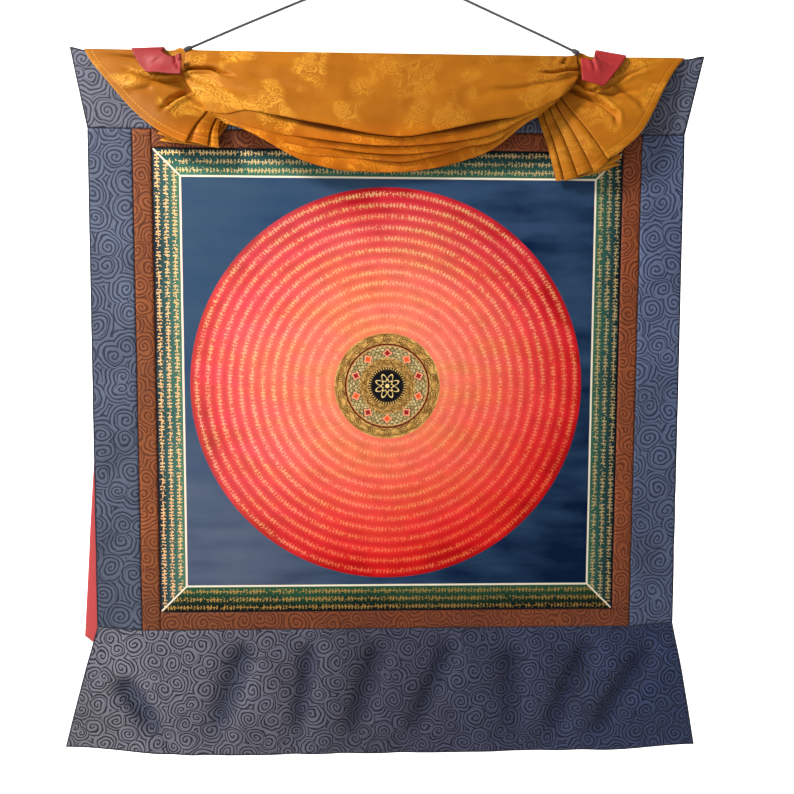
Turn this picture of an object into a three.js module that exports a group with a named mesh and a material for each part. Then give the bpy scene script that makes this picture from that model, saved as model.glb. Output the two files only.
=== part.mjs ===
// Hanging scroll painting: a square painted cloth in a brown brocade frame and blue brocade
// panels, with a gold silk veil gathered up into a swag and two pleated ears, two red ribbons
// and a cord. Millimetres, +Z up. The front faces -Y and the origin is the top of the cord.
import * as THREE from 'three';

// Driving dimensions of the painting and its mounting
const PAINTING = 500;
const PAINTING_CENTRE_Z = -440;
const FRAME_STRIP = 20;
const PANEL_EDGE = 316;
const TOP_SEAM_Z = -171;
const BOTTOM_SEAM_Z = -710;
const BOTTOM_SEAM_RISE = 4;
const TOP_EDGE_Z = -92;
const HEM_Z = -853;
const CLOTH = 1.2;
const SEAM_GAP = 0.3;
const SILK = 1.2;

// Flare of the mounting past its straight sides: at the top edge, and at the hem corners
const TOP_FLARE = { left: 16, right: 18.5, lift: 3 };
const SIDE_DRIFT = 3;
const HEM_FLARE = { left: 37, right: 28, leftLift: 12.5, rightLift: 6 };

// Troughs that hang down the bottom panel: where each starts and ends, its depth and half width
const SKIRT_TROUGHS = [
  { x0: -301, z0: -756, x1: -258, z1: -820, depth: 5.5, width: 13 },
  { x0: -150, z0: -712, x1: -189, z1: -820, depth: 4.5, width: 15 },
  { x0: -82, z0: -712, x1: -100, z1: -822, depth: 4.0, width: 13 },
  { x0: -4, z0: -712, x1: -38, z1: -822, depth: 4.5, width: 15 },
  { x0: 78, z0: -712, x1: 29, z1: -822, depth: 4.0, width: 14 },
  { x0: 138, z0: -712, x1: 140, z1: -824, depth: 3.5, width: 18 },
  { x0: 234, z0: -712, x1: 184, z1: -824, depth: 4.5, width: 16 },
  { x0: 304, z0: -720, x1: 237, z1: -824, depth: 4.5, width: 15 },
];
const SKIRT_BOW = 4.5;

// Puckers across the side panels: middle, tilt in millimetres across the panel, depth, half width
const SIDE_PUCKERS = [
  { x: 292, z: -570, tilt: 2, depth: 2.4, width: 10 },
  { x: 292, z: -626, tilt: 5, depth: 2.6, width: 11 },
  { x: 292, z: -530, tilt: -3, depth: 1.3, width: 8 },
  { x: -292, z: -424, tilt: 22, depth: 1.6, width: 14 },
  { x: -294, z: -532, tilt: 24, depth: 1.8, width: 14 },
  { x: -292, z: -604, tilt: 20, depth: 1.8, width: 13 },
];
const PUCKER_REACH = 26;

// Gold veil: the five pleats of the swag. Each row gives the height of a pleat's lower edge
// at the stations PLEAT_X, and how far it stands forward in the middle.
const PLEAT_X = [-139, -97, -57, 0, 62, 95, 135];
const PLEATS = [
  { heights: [-158, -163, -170, -180, -172, -165, -157], forward: 30 },
  { heights: [-164, -175, -183, -191, -182, -173, -160], forward: 24.5 },
  { heights: [-169, -183, -192, -199, -190, -181, -163], forward: 19.5 },
  { heights: [-174, -191, -200, -207, -198, -190, -165.5], forward: 14.5 },
  { heights: [-180, -206, -216, -215.5, -206, -198, -168], forward: 9.5 },
];
const PLEAT_TUCK = 24;

// Where each pleat's edge leaves the gather, and where it ends at the ear's hem. The turns are
// the hidden inner folds between one pleat and the next, at the gather and at the hem.
const EARS = {
  left: {
    gather: [[-191, -151], [-184, -158], [-180, -161], [-176, -164], [-172, -166]],
    hem: [[-211, -190], [-189, -192], [-178, -193], [-181, -191], [-185, -189]],
    gatherTurns: [[-191, -145], [-185, -151], [-181, -155], [-177, -158], [-173, -160]],
    hemTurns: [[-238, -181], [-237, -187], [-235, -186], [-233, -185], [-222, -184]],
    side: [[-316, -95], [-309, -104.5], [-297, -119], [-285, -133], [-272, -148], [-258, -162],
      [-243, -174], [-227, -183]],
    shoulder: [[-212, -92], [-213, -98], [-214, -105], [-214, -112], [-213, -119], [-210, -127],
      [-205, -135], [-199, -143]],
  },
  right: {
    gather: [[181, -134], [176, -139], [171, -144], [165, -149], [159, -152]],
    hem: [[228, -201], [215, -214], [199, -217], [186, -222], [178, -222]],
    gatherTurns: [[181, -128], [177, -133], [172, -138], [166, -143], [160, -146]],
    hemTurns: [[243, -192], [243, -199], [241, -206], [233, -210], [205, -211]],
    side: [[306.5, -95], [302, -103], [293, -113], [284, -128], [276, -146], [268, -163],
      [258, -178], [244, -190]],
    shoulder: [[198, -92], [198.5, -97], [199, -103], [199, -109], [198, -115], [195, -120],
      [191, -125], [187, -129.5]],
  },
};
const FLAP_STEPS = [0, 0.07, 0.17, 0.28, 0.4, 0.55, 0.7, 0.86];
const FLAP_GATHER_DEPTHS = [3.2, 5.5, 8, 10.5, 13.5, 17.5, 21, 22.5];
const FLAP_HEM_DEPTHS = [3.2, 5, 7.5, 10.5, 14, 18, 21.5, 22.5];
const FRONT_DEPTH = 22.5;
const LAYER_PITCH = 2.0;
const SWAG_STATIONS = 19;
const EAR_STATIONS = 7;
const MITRE_LIMIT = 0.65;
const VEIL_TOP_BUMPS = [{ x: -219, rise: 3.5, width: 5 }, { x: 203, rise: 2.5, width: 5 }];

// Soft creases on the ears' front flaps: a line from one place to another, depth and half width
const EAR_CREASES = [
  { x0: -204, z0: -136, x1: -240, z1: -160, depth: 3.0, width: 5 },
  { x0: 196, z0: -128, x1: 240, z1: -156, depth: 3.0, width: 5 },
  { x0: 214, z0: -125, x1: 288, z1: -101, depth: 2.5, width: 5 },
];

// Red ribbons: the two edges of the strip from the gather, over the top edge, to its back
const RIBBON = 1.0;
const TAIL_STEPS = 9;
const RIBBON_ARC_DROP = 2.4;
const RIBBON_ARC_REACH = 8;
const RIBBON_BEHIND = 5;
const RIBBONS = {
  left: {
    front: [
      { lower: [-213.5, -120], lowerDepth: 19.5, upper: [-213.5, -99.5], upperDepth: 10 },
      { lower: [-232, -119], lowerDepth: 19.5, upper: [-219, -100], upperDepth: 11.5 },
      { lower: [-251, -117], lowerDepth: 17, upper: [-225, -100], upperDepth: 12 },
      { lower: [-260, -107], lowerDepth: 12.5, upper: [-231, -97], upperDepth: 10.5 },
    ],
    over: [-266, -234],
    tail: [[-276, -240, -200], [-294, -256, -330], [-316.5, -278.5, -494], [-334, -296, -716]],
    point: 18,
  },
  right: {
    front: [
      { lower: [199.5, -118], lowerDepth: 20, upper: [199.5, -97], upperDepth: 10 },
      { lower: [221.5, -125], lowerDepth: 20.5, upper: [206, -97.5], upperDepth: 12 },
      { lower: [236, -111], lowerDepth: 16, upper: [211, -96], upperDepth: 12 },
      { lower: [243, -103], lowerDepth: 13, upper: [214, -94], upperDepth: 10.5 },
    ],
    over: [247, 217],
    tail: [[250, 212, -200], [255, 217, -330], [259, 221, -494], [263, 225, -716]],
    point: 18,
  },
};

// Hanging cord and the knots at its two ends
const CORD_DIAMETER = 2.8;
const CORD_SIDES = 8;
const CORD_STEPS = 60;
const CORD_ROUTE = [
  [-204.8, -3.5, -86.6], [-190, -3.4, -80.9], [-150, -2.7, -63.9], [-100, -1.6, -42.9],
  [-50, -0.7, -22.2], [-16, -0.2, -8.1], [-6, 0, -3], [0, 0, -1.4], [6, 0, -3], [16, -0.2, -8],
  [50, -0.7, -23.3], [100, -1.7, -45.2], [150, -2.8, -66.9], [180, -3.4, -79.8],
  [190.8, -3.5, -84.7],
];
const KNOTS = { left: [-209.3, -3.5, -87.6], right: [195.4, -3.5, -86.2] };
const KNOT_PROFILE = [[0, -4.2], [1.7, -4], [2.5, -2.9], [2.1, -1.9], [2.9, -0.6], [2.4, 0.6],
  [2.6, 1.8], [2, 3.2], [1.5, 3.9], [0, 4.1]];

const MATERIALS = {
  painting: new THREE.MeshStandardMaterial({ color: 0xc8453f, roughness: 0.75, metalness: 0 }),
  brown: new THREE.MeshStandardMaterial({ color: 0x8a4526, roughness: 0.6, metalness: 0 }),
  blue: new THREE.MeshStandardMaterial({ color: 0x4c5870, roughness: 0.65, metalness: 0 }),
  gold: new THREE.MeshStandardMaterial({ color: 0xb8741f, roughness: 0.45, metalness: 0 }),
  red: new THREE.MeshStandardMaterial({ color: 0xb5303a, roughness: 0.5, metalness: 0 }),
  cord: new THREE.MeshStandardMaterial({ color: 0x45454c, roughness: 0.8, metalness: 0 }),
};

const mix = (a, b, t) => a + (b - a) * t;
const clamp01 = (t) => Math.min(1, Math.max(0, t));
const smooth = (t) => clamp01(t) ** 2 * (3 - 2 * clamp01(t));
const bell = (d) => Math.exp(-d * d);

// Distance of a place from a line, and how far along the line it is, from 0 to 1
function fromLine(line, x, z) {
  const dx = line.x1 - line.x0;
  const dz = line.z1 - line.z0;
  const length = Math.hypot(dx, dz);
  const along = ((x - line.x0) * dx + (z - line.z0) * dz) / length ** 2;
  const across = ((x - line.x0) * dz - (z - line.z0) * dx) / length;
  return { along, across };
}

// Catmull-Rom value through evenly or unevenly spaced stations
function through(stations, values, x) {
  const last = stations.length - 1;
  let i = 0;
  while (i < last - 1 && x > stations[i + 1]) i += 1;
  const span = stations[i + 1] - stations[i];
  const t = (x - stations[i]) / span;
  const slope = (k) => {
    const a = Math.max(k - 1, 0);
    const b = Math.min(k + 1, last);
    return (values[b] - values[a]) / (stations[b] - stations[a]);
  };
  const t2 = t * t;
  const t3 = t2 * t;
  return (2 * t3 - 3 * t2 + 1) * values[i] + (t3 - 2 * t2 + t) * span * slope(i)
    + (3 * t2 - 2 * t3) * values[i + 1] + (t3 - t2) * span * slope(i + 1);
}

// How far the mounting's front stands back from the plane Y = 0 at a place on it
function relief(x, z) {
  const below = clamp01((BOTTOM_SEAM_Z - z) / (BOTTOM_SEAM_Z - HEM_Z));
  let y = -SKIRT_BOW * smooth(below / 0.35) * (1 - 0.55 * smooth((below - 0.6) / 0.4));
  for (const trough of SKIRT_TROUGHS) {
    const { along, across } = fromLine(trough, x, z);
    const fade = smooth(along / 0.3) * (1 - 0.75 * smooth((along - 0.75) / 0.5));
    y += trough.depth * fade * bell(across / trough.width);
  }
  for (const pucker of SIDE_PUCKERS) {
    const lean = (pucker.tilt * (x - pucker.x)) / PUCKER_REACH;
    y += pucker.depth * bell((x - pucker.x) / PUCKER_REACH) * bell((z - pucker.z - lean) / pucker.width);
  }
  return y + 0.5 * Math.sin(x / 95) * Math.cos(z / 120);
}

// One closed sheet between a front and a back grid of points
function closedSheet(front, back) {
  const rows = front.length;
  const columns = front[0].length;
  const positions = [];
  for (const grid of [front, back]) {
    for (const row of grid) {
      for (const p of row) positions.push(p[0], p[1], p[2]);
    }
  }
  const at = (side, i, j) => side * rows * columns + i * columns + j;
  const index = [];
  const quad = (a, b, c, d) => index.push(a, b, c, a, c, d);
  for (let i = 0; i < rows - 1; i += 1) {
    for (let j = 0; j < columns - 1; j += 1) {
      quad(at(0, i, j), at(0, i, j + 1), at(0, i + 1, j + 1), at(0, i + 1, j));
      quad(at(1, i, j), at(1, i + 1, j), at(1, i + 1, j + 1), at(1, i, j + 1));
    }
  }
  for (let j = 0; j < columns - 1; j += 1) {
    quad(at(0, 0, j), at(1, 0, j), at(1, 0, j + 1), at(0, 0, j + 1));
    quad(at(0, rows - 1, j + 1), at(1, rows - 1, j + 1), at(1, rows - 1, j), at(0, rows - 1, j));
  }
  for (let i = 0; i < rows - 1; i += 1) {
    quad(at(0, i + 1, 0), at(1, i + 1, 0), at(1, i, 0), at(0, i, 0));
    quad(at(0, i, columns - 1), at(1, i, columns - 1), at(1, i + 1, columns - 1), at(0, i + 1, columns - 1));
  }
  return facingOut(positions, index);
}

// Geometry whose faces point out of the solid, whichever way its grid runs
function facingOut(positions, index) {
  let volume = 0;
  const p = (k) => new THREE.Vector3(positions[3 * k], positions[3 * k + 1], positions[3 * k + 2]);
  for (let k = 0; k < index.length; k += 3) {
    volume += p(index[k]).dot(p(index[k + 1]).cross(p(index[k + 2])));
  }
  if (volume < 0) {
    for (let k = 0; k < index.length; k += 3) [index[k], index[k + 1]] = [index[k + 1], index[k]];
  }
  const geometry = new THREE.BufferGeometry();
  geometry.setAttribute('position', new THREE.Float32BufferAttribute(positions, 3));
  geometry.setIndex(index);
  geometry.computeVertexNormals();
  return geometry;
}

// A flat-cut piece of the mounting, laid on the relief. place(s, t) gives x and z from the
// left edge (s = 0) to the right and from the lower edge (t = 0) to the upper.
function mountedSheet(across, up, place) {
  const front = [];
  const back = [];
  for (let i = 0; i <= up; i += 1) {
    const frontRow = [];
    const backRow = [];
    for (let j = 0; j <= across; j += 1) {
      const [x, z] = place(j / across, i / up);
      const y = relief(x, z);
      frontRow.push([x, y, z]);
      backRow.push([x, y + CLOTH, z]);
    }
    front.push(frontRow);
    back.push(backRow);
  }
  return closedSheet(front, back);
}

// A rectangle between two x and two z, less half the seam gap all round
function rectangle(x0, x1, z0, z1) {
  const half = SEAM_GAP / 2;
  return (s, t) => [mix(x0 + half, x1 - half, s), mix(z0 + half, z1 - half, t)];
}

const frameInner = PAINTING / 2;
const frameOuter = frameInner + FRAME_STRIP;
const frameTop = PAINTING_CENTRE_Z + frameInner + FRAME_STRIP - 1;
const frameBottom = BOTTOM_SEAM_Z;
const paintingTop = PAINTING_CENTRE_Z + frameInner;
const paintingBottom = PAINTING_CENTRE_Z - frameInner;

// The seam of the side panels with the bottom panel rises a little towards the outer edge
const bottomSeam = (x) => BOTTOM_SEAM_Z
  + BOTTOM_SEAM_RISE * clamp01((Math.abs(x) - frameOuter) / (PANEL_EDGE - frameOuter));

function sidePanel(sign) {
  return (s, t) => {
    const outer = PANEL_EDGE + SIDE_DRIFT * (1 - t);
    const x = sign * mix(frameOuter + SEAM_GAP / 2, outer, sign < 0 ? 1 - s : s);
    return [x, mix(bottomSeam(x) + SEAM_GAP / 2, TOP_SEAM_Z - SEAM_GAP / 2, t)];
  };
}

function topPanel(s, t) {
  const left = -PANEL_EDGE - TOP_FLARE.left * t;
  const right = PANEL_EDGE + TOP_FLARE.right * t;
  const x = mix(left, right, s);
  const corner = smooth((Math.abs(x) - PANEL_EDGE) / TOP_FLARE.left);
  return [x, mix(TOP_SEAM_Z + SEAM_GAP / 2, TOP_EDGE_Z + TOP_FLARE.lift * corner, t)];
}

function bottomPanel(s, t) {
  const down = 1 - t;
  const left = -PANEL_EDGE - SIDE_DRIFT - HEM_FLARE.left * down;
  const right = PANEL_EDGE + SIDE_DRIFT + HEM_FLARE.right * down;
  const x = mix(left, right, s);
  const lift = HEM_FLARE.leftLift * smooth(1 - s / 0.2) + HEM_FLARE.rightLift * smooth((s - 0.85) / 0.15);
  return [x, mix(HEM_Z + lift, bottomSeam(x) - SEAM_GAP, t)];
}

// The veil's own top edge, with the small puffs beside the knots
function veilTop(x) {
  let z = TOP_EDGE_Z;
  for (const bump of VEIL_TOP_BUMPS) z += bump.rise * bell((x - bump.x) / bump.width);
  return z;
}

// A back-and-forth section of the veil: down the front flap, then up and down each pleat.
// flap is a list of points, lips and turns are the points where the cloth doubles back.
function section(flap, lips, turns) {
  const points = [...flap];
  lips.forEach((lip, i) => {
    const turn = turns[i];
    points.push(lip);
    points.push([lip[0], lip[1] + LAYER_PITCH, lip[2]]);
    points.push(turn);
    if (i < lips.length - 1) {
      const next = lips[i + 1];
      const folded = [turn[0], turn[1] + LAYER_PITCH, turn[2]];
      points.push(folded);
      points.push([mix(folded[0], next[0], 0.5), mix(folded[1], next[1], 0.5), mix(folded[2], next[2], 0.5)]);
    }
  });
  return points;
}

// Depths of the layers where they lie packed: lips and turns alternate, front to back
const packedLip = (i) => -FRONT_DEPTH + 2 * i * LAYER_PITCH;
const packedTurn = (i) => packedLip(i) + LAYER_PITCH;

function gatherSection(ear) {
  const flap = ear.shoulder.map(([x, z], k) => [x, -FLAP_GATHER_DEPTHS[k], k === 0 ? veilTop(x) : z]);
  const lips = ear.gather.map(([x, z], i) => [x, packedLip(i), z]);
  const turns = ear.gatherTurns.map(([x, z], i) => [x, packedTurn(i), z]);
  return section(flap, lips, turns);
}

function hemSection(ear) {
  const flap = ear.side.map(([x, z], k) => [x, -FLAP_HEM_DEPTHS[k], z]);
  const lips = ear.hem.map(([x, z], i) => [x, packedLip(i), z]);
  const turns = ear.hemTurns.map(([x, z], i) => [x, packedTurn(i), z]);
  return section(flap, lips, turns);
}

// The swag's section at a fraction of the way from the left gather to the right one. The
// flap swells forward between the gathers, and the hidden turns lie packed behind it.
function swagSection(left, right, fraction) {
  const swell = Math.sin(Math.PI * fraction) ** 0.7;
  const end = fraction < 0.5 ? left : right;
  const lips = PLEATS.map((pleat, i) => {
    const stations = [left.gather[i][0], ...PLEAT_X, right.gather[i][0]];
    const heights = [left.gather[i][1], ...pleat.heights, right.gather[i][1]];
    const x = mix(left.gather[i][0], right.gather[i][0], fraction);
    return [x, mix(packedLip(i), -pleat.forward, swell), through(stations, heights, x)];
  });
  const topX = mix(left.shoulder[0][0], right.shoulder[0][0], fraction);
  const flapFront = (step) => mix(FLAP_GATHER_DEPTHS[0], PLEATS[0].forward, Math.sin((step * Math.PI) / 2));
  const flap = FLAP_STEPS.map((step, k) => {
    const bow = (end.shoulder[k][0] - mix(end.shoulder[0][0], end.gather[0][0], step)) * (1 - swell);
    const even = mix(veilTop(topX), lips[0][2], step);
    const pinched = k === 0 ? veilTop(topX) : end.shoulder[k][1];
    return [mix(topX, lips[0][0], step) + bow, -mix(FLAP_GATHER_DEPTHS[k], flapFront(step), swell),
      mix(pinched, even, swell)];
  });
  const tuckHeight = lips[0][2] + PLEAT_TUCK;
  const tuckDepth = flapFront((veilTop(topX) - tuckHeight) / (veilTop(topX) - lips[0][2]));
  const turns = lips.map((lip, i) => {
    const lean = (end.gatherTurns[i][0] - end.gather[i][0]) * (1 - swell);
    const rise = end.gatherTurns[i][1] - end.gather[i][1];
    const packedBehindFlap = -tuckDepth + (2 * i + 1) * LAYER_PITCH;
    return [lip[0] + lean, mix(packedTurn(i), packedBehindFlap, swell), mix(lip[2] + rise, tuckHeight, swell)];
  });
  return section(flap, lips, turns);
}

// Creases pressed into the ears' front flaps
function creased(point, flapPoint) {
  if (!flapPoint) return point;
  let y = point[1];
  for (const crease of EAR_CREASES) {
    const { along, across } = fromLine(crease, point[0], point[2]);
    y += crease.depth * smooth(along / 0.25) * smooth((1 - along) / 0.25) * bell(across / crease.width);
  }
  return [point[0], y, point[2]];
}

// The veil's middle surface: left ear from its hem inwards, the swag, then the right ear
function veilMiddle() {
  const { left, right } = EARS;
  const rows = [];
  const ear = (sideEar, fractions) => {
    const inner = gatherSection(sideEar);
    const outer = hemSection(sideEar);
    for (const r of fractions) {
      rows.push(inner.map((p, k) => creased(p.map((value, axis) => mix(value, outer[k][axis], r)),
        k > 0 && k < FLAP_STEPS.length)));
    }
  };
  const outwards = [];
  for (let i = 1; i <= EAR_STATIONS; i += 1) outwards.push((i / EAR_STATIONS) ** 1.15);
  ear(left, [...outwards].reverse());
  for (let i = 0; i < SWAG_STATIONS; i += 1) {
    const even = i / (SWAG_STATIONS - 1);
    rows.push(swagSection(left, right, mix(even, smooth(even), 0.35)));
  }
  ear(right, outwards);
  return rows;
}

// The side of the cloth's face for each step of a section. Along a fold's layers the face looks
// along Y, and where the cloth doubles back it looks down the fold.
function faceDirections(row) {
  const faces = [];
  let down = null;
  for (let k = 0; k < row.length - 1; k += 1) {
    const step = new THREE.Vector3(...row[k + 1]).sub(new THREE.Vector3(...row[k]));
    const level = new THREE.Vector3(step.x, 0, step.z);
    if (level.length() > LAYER_PITCH / 10) {
      level.normalize();
      if (down && level.dot(down) < 0) level.negate();
      down = level;
    }
    const face = new THREE.Vector3(0, -step.dot(down), 0).addScaledVector(down, step.y);
    faces.push(face.normalize());
  }
  return faces;
}

// The middle surface moved to one side by a distance, with mitred folds
function offsetSurface(rows, distance) {
  return rows.map((row) => {
    const faces = faceDirections(row);
    return row.map((point, k) => {
      const before = faces[Math.max(k - 1, 0)];
      const after = faces[Math.min(k, faces.length - 1)];
      const sum = before.clone().add(after).normalize();
      const reach = distance / Math.max(MITRE_LIMIT, sum.dot(before));
      return [point[0] + sum.x * reach, point[1] + sum.y * reach, point[2] + sum.z * reach];
    });
  });
}

function silkSheet(rows, thickness) {
  return closedSheet(offsetSurface(rows, thickness / 2), offsetSurface(rows, -thickness / 2));
}

// An open strip, given as rows of points across it, thickened evenly about its middle
function stripSheet(rows, thickness) {
  const moved = (distance) => rows.map((row, i) => row.map((point, k) => {
    const next = new THREE.Vector3(...rows[Math.min(i + 1, rows.length - 1)][k]);
    const along = next.sub(new THREE.Vector3(...rows[Math.max(i - 1, 0)][k]));
    const across = new THREE.Vector3(...row[row.length - 1]).sub(new THREE.Vector3(...row[0]));
    const normal = along.cross(across).normalize().multiplyScalar(distance);
    return [point[0] + normal.x, point[1] + normal.y, point[2] + normal.z];
  }));
  return closedSheet(moved(thickness / 2), moved(-thickness / 2));
}

// A ribbon from the gather up the front, over the top edge and down behind to its pointed end
function ribbonMiddle({ front, over, tail, point }) {
  const strip = (a, b) => [0, 0.5, 1].map((s) => a.map((value, axis) => mix(value, b[axis], s)));
  const rows = front.map(({ lower, lowerDepth, upper, upperDepth }) => (
    strip([lower[0], -lowerDepth, lower[1]], [upper[0], -upperDepth, upper[1]])));
  const radius = (RIBBON_BEHIND + RIBBON_ARC_REACH) / 2;
  const base = TOP_EDGE_Z - RIBBON_ARC_DROP;
  for (const degrees of [15, 60, 100, 140, 180]) {
    const turn = (degrees * Math.PI) / 180;
    const y = RIBBON_BEHIND - radius - radius * Math.cos(turn);
    const z = base + radius * Math.sin(turn);
    rows.push(strip([over[0], y, z], [over[1], y, z]));
  }
  const stations = [base, ...tail.map((row) => row[2])];
  const edge = (column) => [over[column], ...tail.map((row) => row[column])];
  const depths = stations.map((z) => -z);
  for (let i = 1; i <= TAIL_STEPS; i += 1) {
    const down = mix(depths[0], depths[depths.length - 1], i / TAIL_STEPS);
    const a = through(depths, edge(0), down);
    const b = through(depths, edge(1), down);
    rows.push(strip([a, RIBBON_BEHIND, -down], [b, RIBBON_BEHIND, -down]));
  }
  const end = rows[rows.length - 1];
  rows.push(end.map(([x, y, z], k) => [x, y, z - (k === 1 ? point : 1)]));
  return rows;
}

// The cord as an even tube along its route
function cordTube() {
  const circle = new THREE.Shape();
  for (let k = 0; k < CORD_SIDES; k += 1) {
    const angle = (2 * Math.PI * k) / CORD_SIDES;
    const u = (CORD_DIAMETER / 2) * Math.cos(angle);
    const v = (CORD_DIAMETER / 2) * Math.sin(angle);
    if (k === 0) circle.moveTo(u, v);
    else circle.lineTo(u, v);
  }
  const route = new THREE.CatmullRomCurve3(CORD_ROUTE.map((p) => new THREE.Vector3(...p)), false, 'centripetal');
  return new THREE.ExtrudeGeometry(circle, { steps: CORD_STEPS, extrudePath: route });
}

// A wound knot, turned so that its axis follows the cord that leaves it
function knot(centre, next) {
  const profile = KNOT_PROFILE.map(([r, h]) => new THREE.Vector2(r, h));
  const mesh = new THREE.Mesh(new THREE.LatheGeometry(profile, 12), MATERIALS.cord);
  const axis = new THREE.Vector3(...next).sub(new THREE.Vector3(...centre)).normalize();
  mesh.quaternion.setFromUnitVectors(new THREE.Vector3(0, 1, 0), axis);
  mesh.position.set(...centre);
  return mesh;
}

const scroll = new THREE.Group();

function add(name, geometry, material) {
  const mesh = new THREE.Mesh(geometry, material);
  mesh.name = name;
  scroll.add(mesh);
}

add('painting', mountedSheet(8, 16, rectangle(-frameInner, frameInner, paintingBottom, paintingTop)),
  MATERIALS.painting);
add('frame_left', mountedSheet(1, 20, rectangle(-frameOuter, -frameInner, frameBottom, frameTop)), MATERIALS.brown);
add('frame_right', mountedSheet(1, 20, rectangle(frameInner, frameOuter, paintingBottom, frameTop)), MATERIALS.brown);
add('frame_top', mountedSheet(16, 1, rectangle(-frameInner, frameInner, paintingTop, frameTop)), MATERIALS.brown);
add('frame_bottom', mountedSheet(16, 1, rectangle(-frameInner, frameOuter, frameBottom, paintingBottom)),
  MATERIALS.brown);
add('panel_left', mountedSheet(3, 36, sidePanel(-1)), MATERIALS.blue);
add('panel_right', mountedSheet(3, 36, sidePanel(1)), MATERIALS.blue);
add('panel_top', mountedSheet(20, 5, topPanel), MATERIALS.blue);
add('panel_bottom', mountedSheet(56, 8, bottomPanel), MATERIALS.blue);
add('veil', silkSheet(veilMiddle(), SILK), MATERIALS.gold);
add('ribbon_left', stripSheet(ribbonMiddle(RIBBONS.left), RIBBON), MATERIALS.red);
add('ribbon_right', stripSheet(ribbonMiddle(RIBBONS.right), RIBBON), MATERIALS.red);
add('hanging_cord', cordTube(), MATERIALS.cord);

for (const [side, next] of [['left', CORD_ROUTE[1]], ['right', CORD_ROUTE[CORD_ROUTE.length - 2]]]) {
  const mesh = knot(KNOTS[side], next);
  mesh.name = `cord_knot_${side}`;
  scroll.add(mesh);
}

export default scroll;
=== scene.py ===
"""A hanging scroll painting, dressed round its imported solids.

A square painted cloth hangs in a brown brocade frame and blue brocade panels. A gold silk veil is
gathered up in front of it into a pleated swag and two pleated ears, held by two red ribbons, and
the whole hangs by a twisted cord. Tables are in millimetres and meshes in metres, in the frame of
the solids: +Z up, the front facing -Y, the top of the cord at the origin.
"""

import logging
import math
from dataclasses import dataclass
from enum import Enum
from typing import Any, Callable, Optional, Sequence, Union

import bpy
import numpy as np
from mathutils import Euler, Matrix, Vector, noise


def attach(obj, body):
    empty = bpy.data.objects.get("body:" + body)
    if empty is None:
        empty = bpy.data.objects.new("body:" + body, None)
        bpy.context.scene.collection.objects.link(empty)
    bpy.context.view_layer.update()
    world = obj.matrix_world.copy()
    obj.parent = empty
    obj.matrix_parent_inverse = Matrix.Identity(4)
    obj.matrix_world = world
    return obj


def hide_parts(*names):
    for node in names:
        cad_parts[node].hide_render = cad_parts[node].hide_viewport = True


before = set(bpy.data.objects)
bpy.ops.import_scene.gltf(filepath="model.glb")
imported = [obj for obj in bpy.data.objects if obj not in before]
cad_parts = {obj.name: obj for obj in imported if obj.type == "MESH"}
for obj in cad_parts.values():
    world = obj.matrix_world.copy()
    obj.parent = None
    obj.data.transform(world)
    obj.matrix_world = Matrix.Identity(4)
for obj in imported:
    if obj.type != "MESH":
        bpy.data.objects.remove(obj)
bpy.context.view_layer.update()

LOG = logging.getLogger("scroll")
MM = 0.001
FULL_TURN = 2.0 * math.pi
CUT = "cut"
SHADE = "shade"
WHITE = (1.0, 1.0, 1.0, 1.0)
# What several pieces share, in millimetres: the top edge, and the painting's side and middle height
TOP_EDGE = -92.0
PAINTING_SIDE = 500.0
PAINTING_MIDDLE = -440.0

Point = Sequence[float]
Place = Callable[[float, float], tuple[float, float]]
Colour = tuple[float, float, float, float]
Number = Union["Value", float]


def tone(red: int, green: int, blue: int) -> Colour:
    """Turn a display colour from 0 to 255 into the linear colour that a shader takes."""
    def linear(part: float) -> float:
        """Undo the display curve of one channel."""
        share = part / 255.0
        return share / 12.92 if share <= 0.04045 else ((share + 0.055) / 1.055) ** 2.4

    return (linear(red), linear(green), linear(blue), 1.0)


def mix(a: float, b: float, t: float) -> float:
    """Go from a to b by the share t."""
    return a + (b - a) * t


def clamp01(t: float) -> float:
    """Keep a share between 0 and 1."""
    return min(1.0, max(0.0, t))


def smooth(t: float) -> float:
    """Ease a share in and out."""
    kept = clamp01(t)
    return kept * kept * (3.0 - 2.0 * kept)


def bell(distance: float) -> float:
    """A round bump of height 1 at distance 0."""
    return math.exp(-distance * distance)


def through(stations: Sequence[float], values: Sequence[float], x: float) -> float:
    """Give the smooth value at x of a curve through values at rising stations.

    Args:
        stations: Rising places along the curve.
        values: The curve's value at each station.
        x: The place that is asked for.

    Returns:
        The value at x.
    """
    last = len(stations) - 1
    i = 0
    while i < last - 1 and x > stations[i + 1]:
        i += 1
    span = stations[i + 1] - stations[i]
    t = (x - stations[i]) / span

    def slope(k: int) -> float:
        """The curve's slope at a station."""
        a, b = max(k - 1, 0), min(k + 1, last)
        return (values[b] - values[a]) / (stations[b] - stations[a])

    t2, t3 = t * t, t * t * t
    return (
        (2 * t3 - 3 * t2 + 1) * values[i]
        + (t3 - 2 * t2 + t) * span * slope(i)
        + (3 * t2 - 2 * t3) * values[i + 1]
        + (t3 - t2) * span * slope(i + 1)
    )


def between(rows: Sequence[Point], place: float) -> np.ndarray:
    """Give the smooth point at a fractional place along a list of points."""
    stations = list(range(len(rows)))
    return np.array([through(stations, [row[axis] for row in rows], place) for axis in range(len(rows[0]))])


@dataclass(frozen=True)
class Line:
    """A straight line on the cloth with a soft trough along it, in millimetres."""

    x0: float
    z0: float
    x1: float
    z1: float
    depth: float
    width: float

    def along_across(self, x: float, z: float) -> tuple[float, float]:
        """Give how far along the line a place is, from 0 to 1, and its signed distance from it."""
        dx, dz = self.x1 - self.x0, self.z1 - self.z0
        length = math.hypot(dx, dz)
        along = ((x - self.x0) * dx + (z - self.z0) * dz) / length**2
        across = ((x - self.x0) * dz - (z - self.z0) * dx) / length
        return along, across


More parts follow.
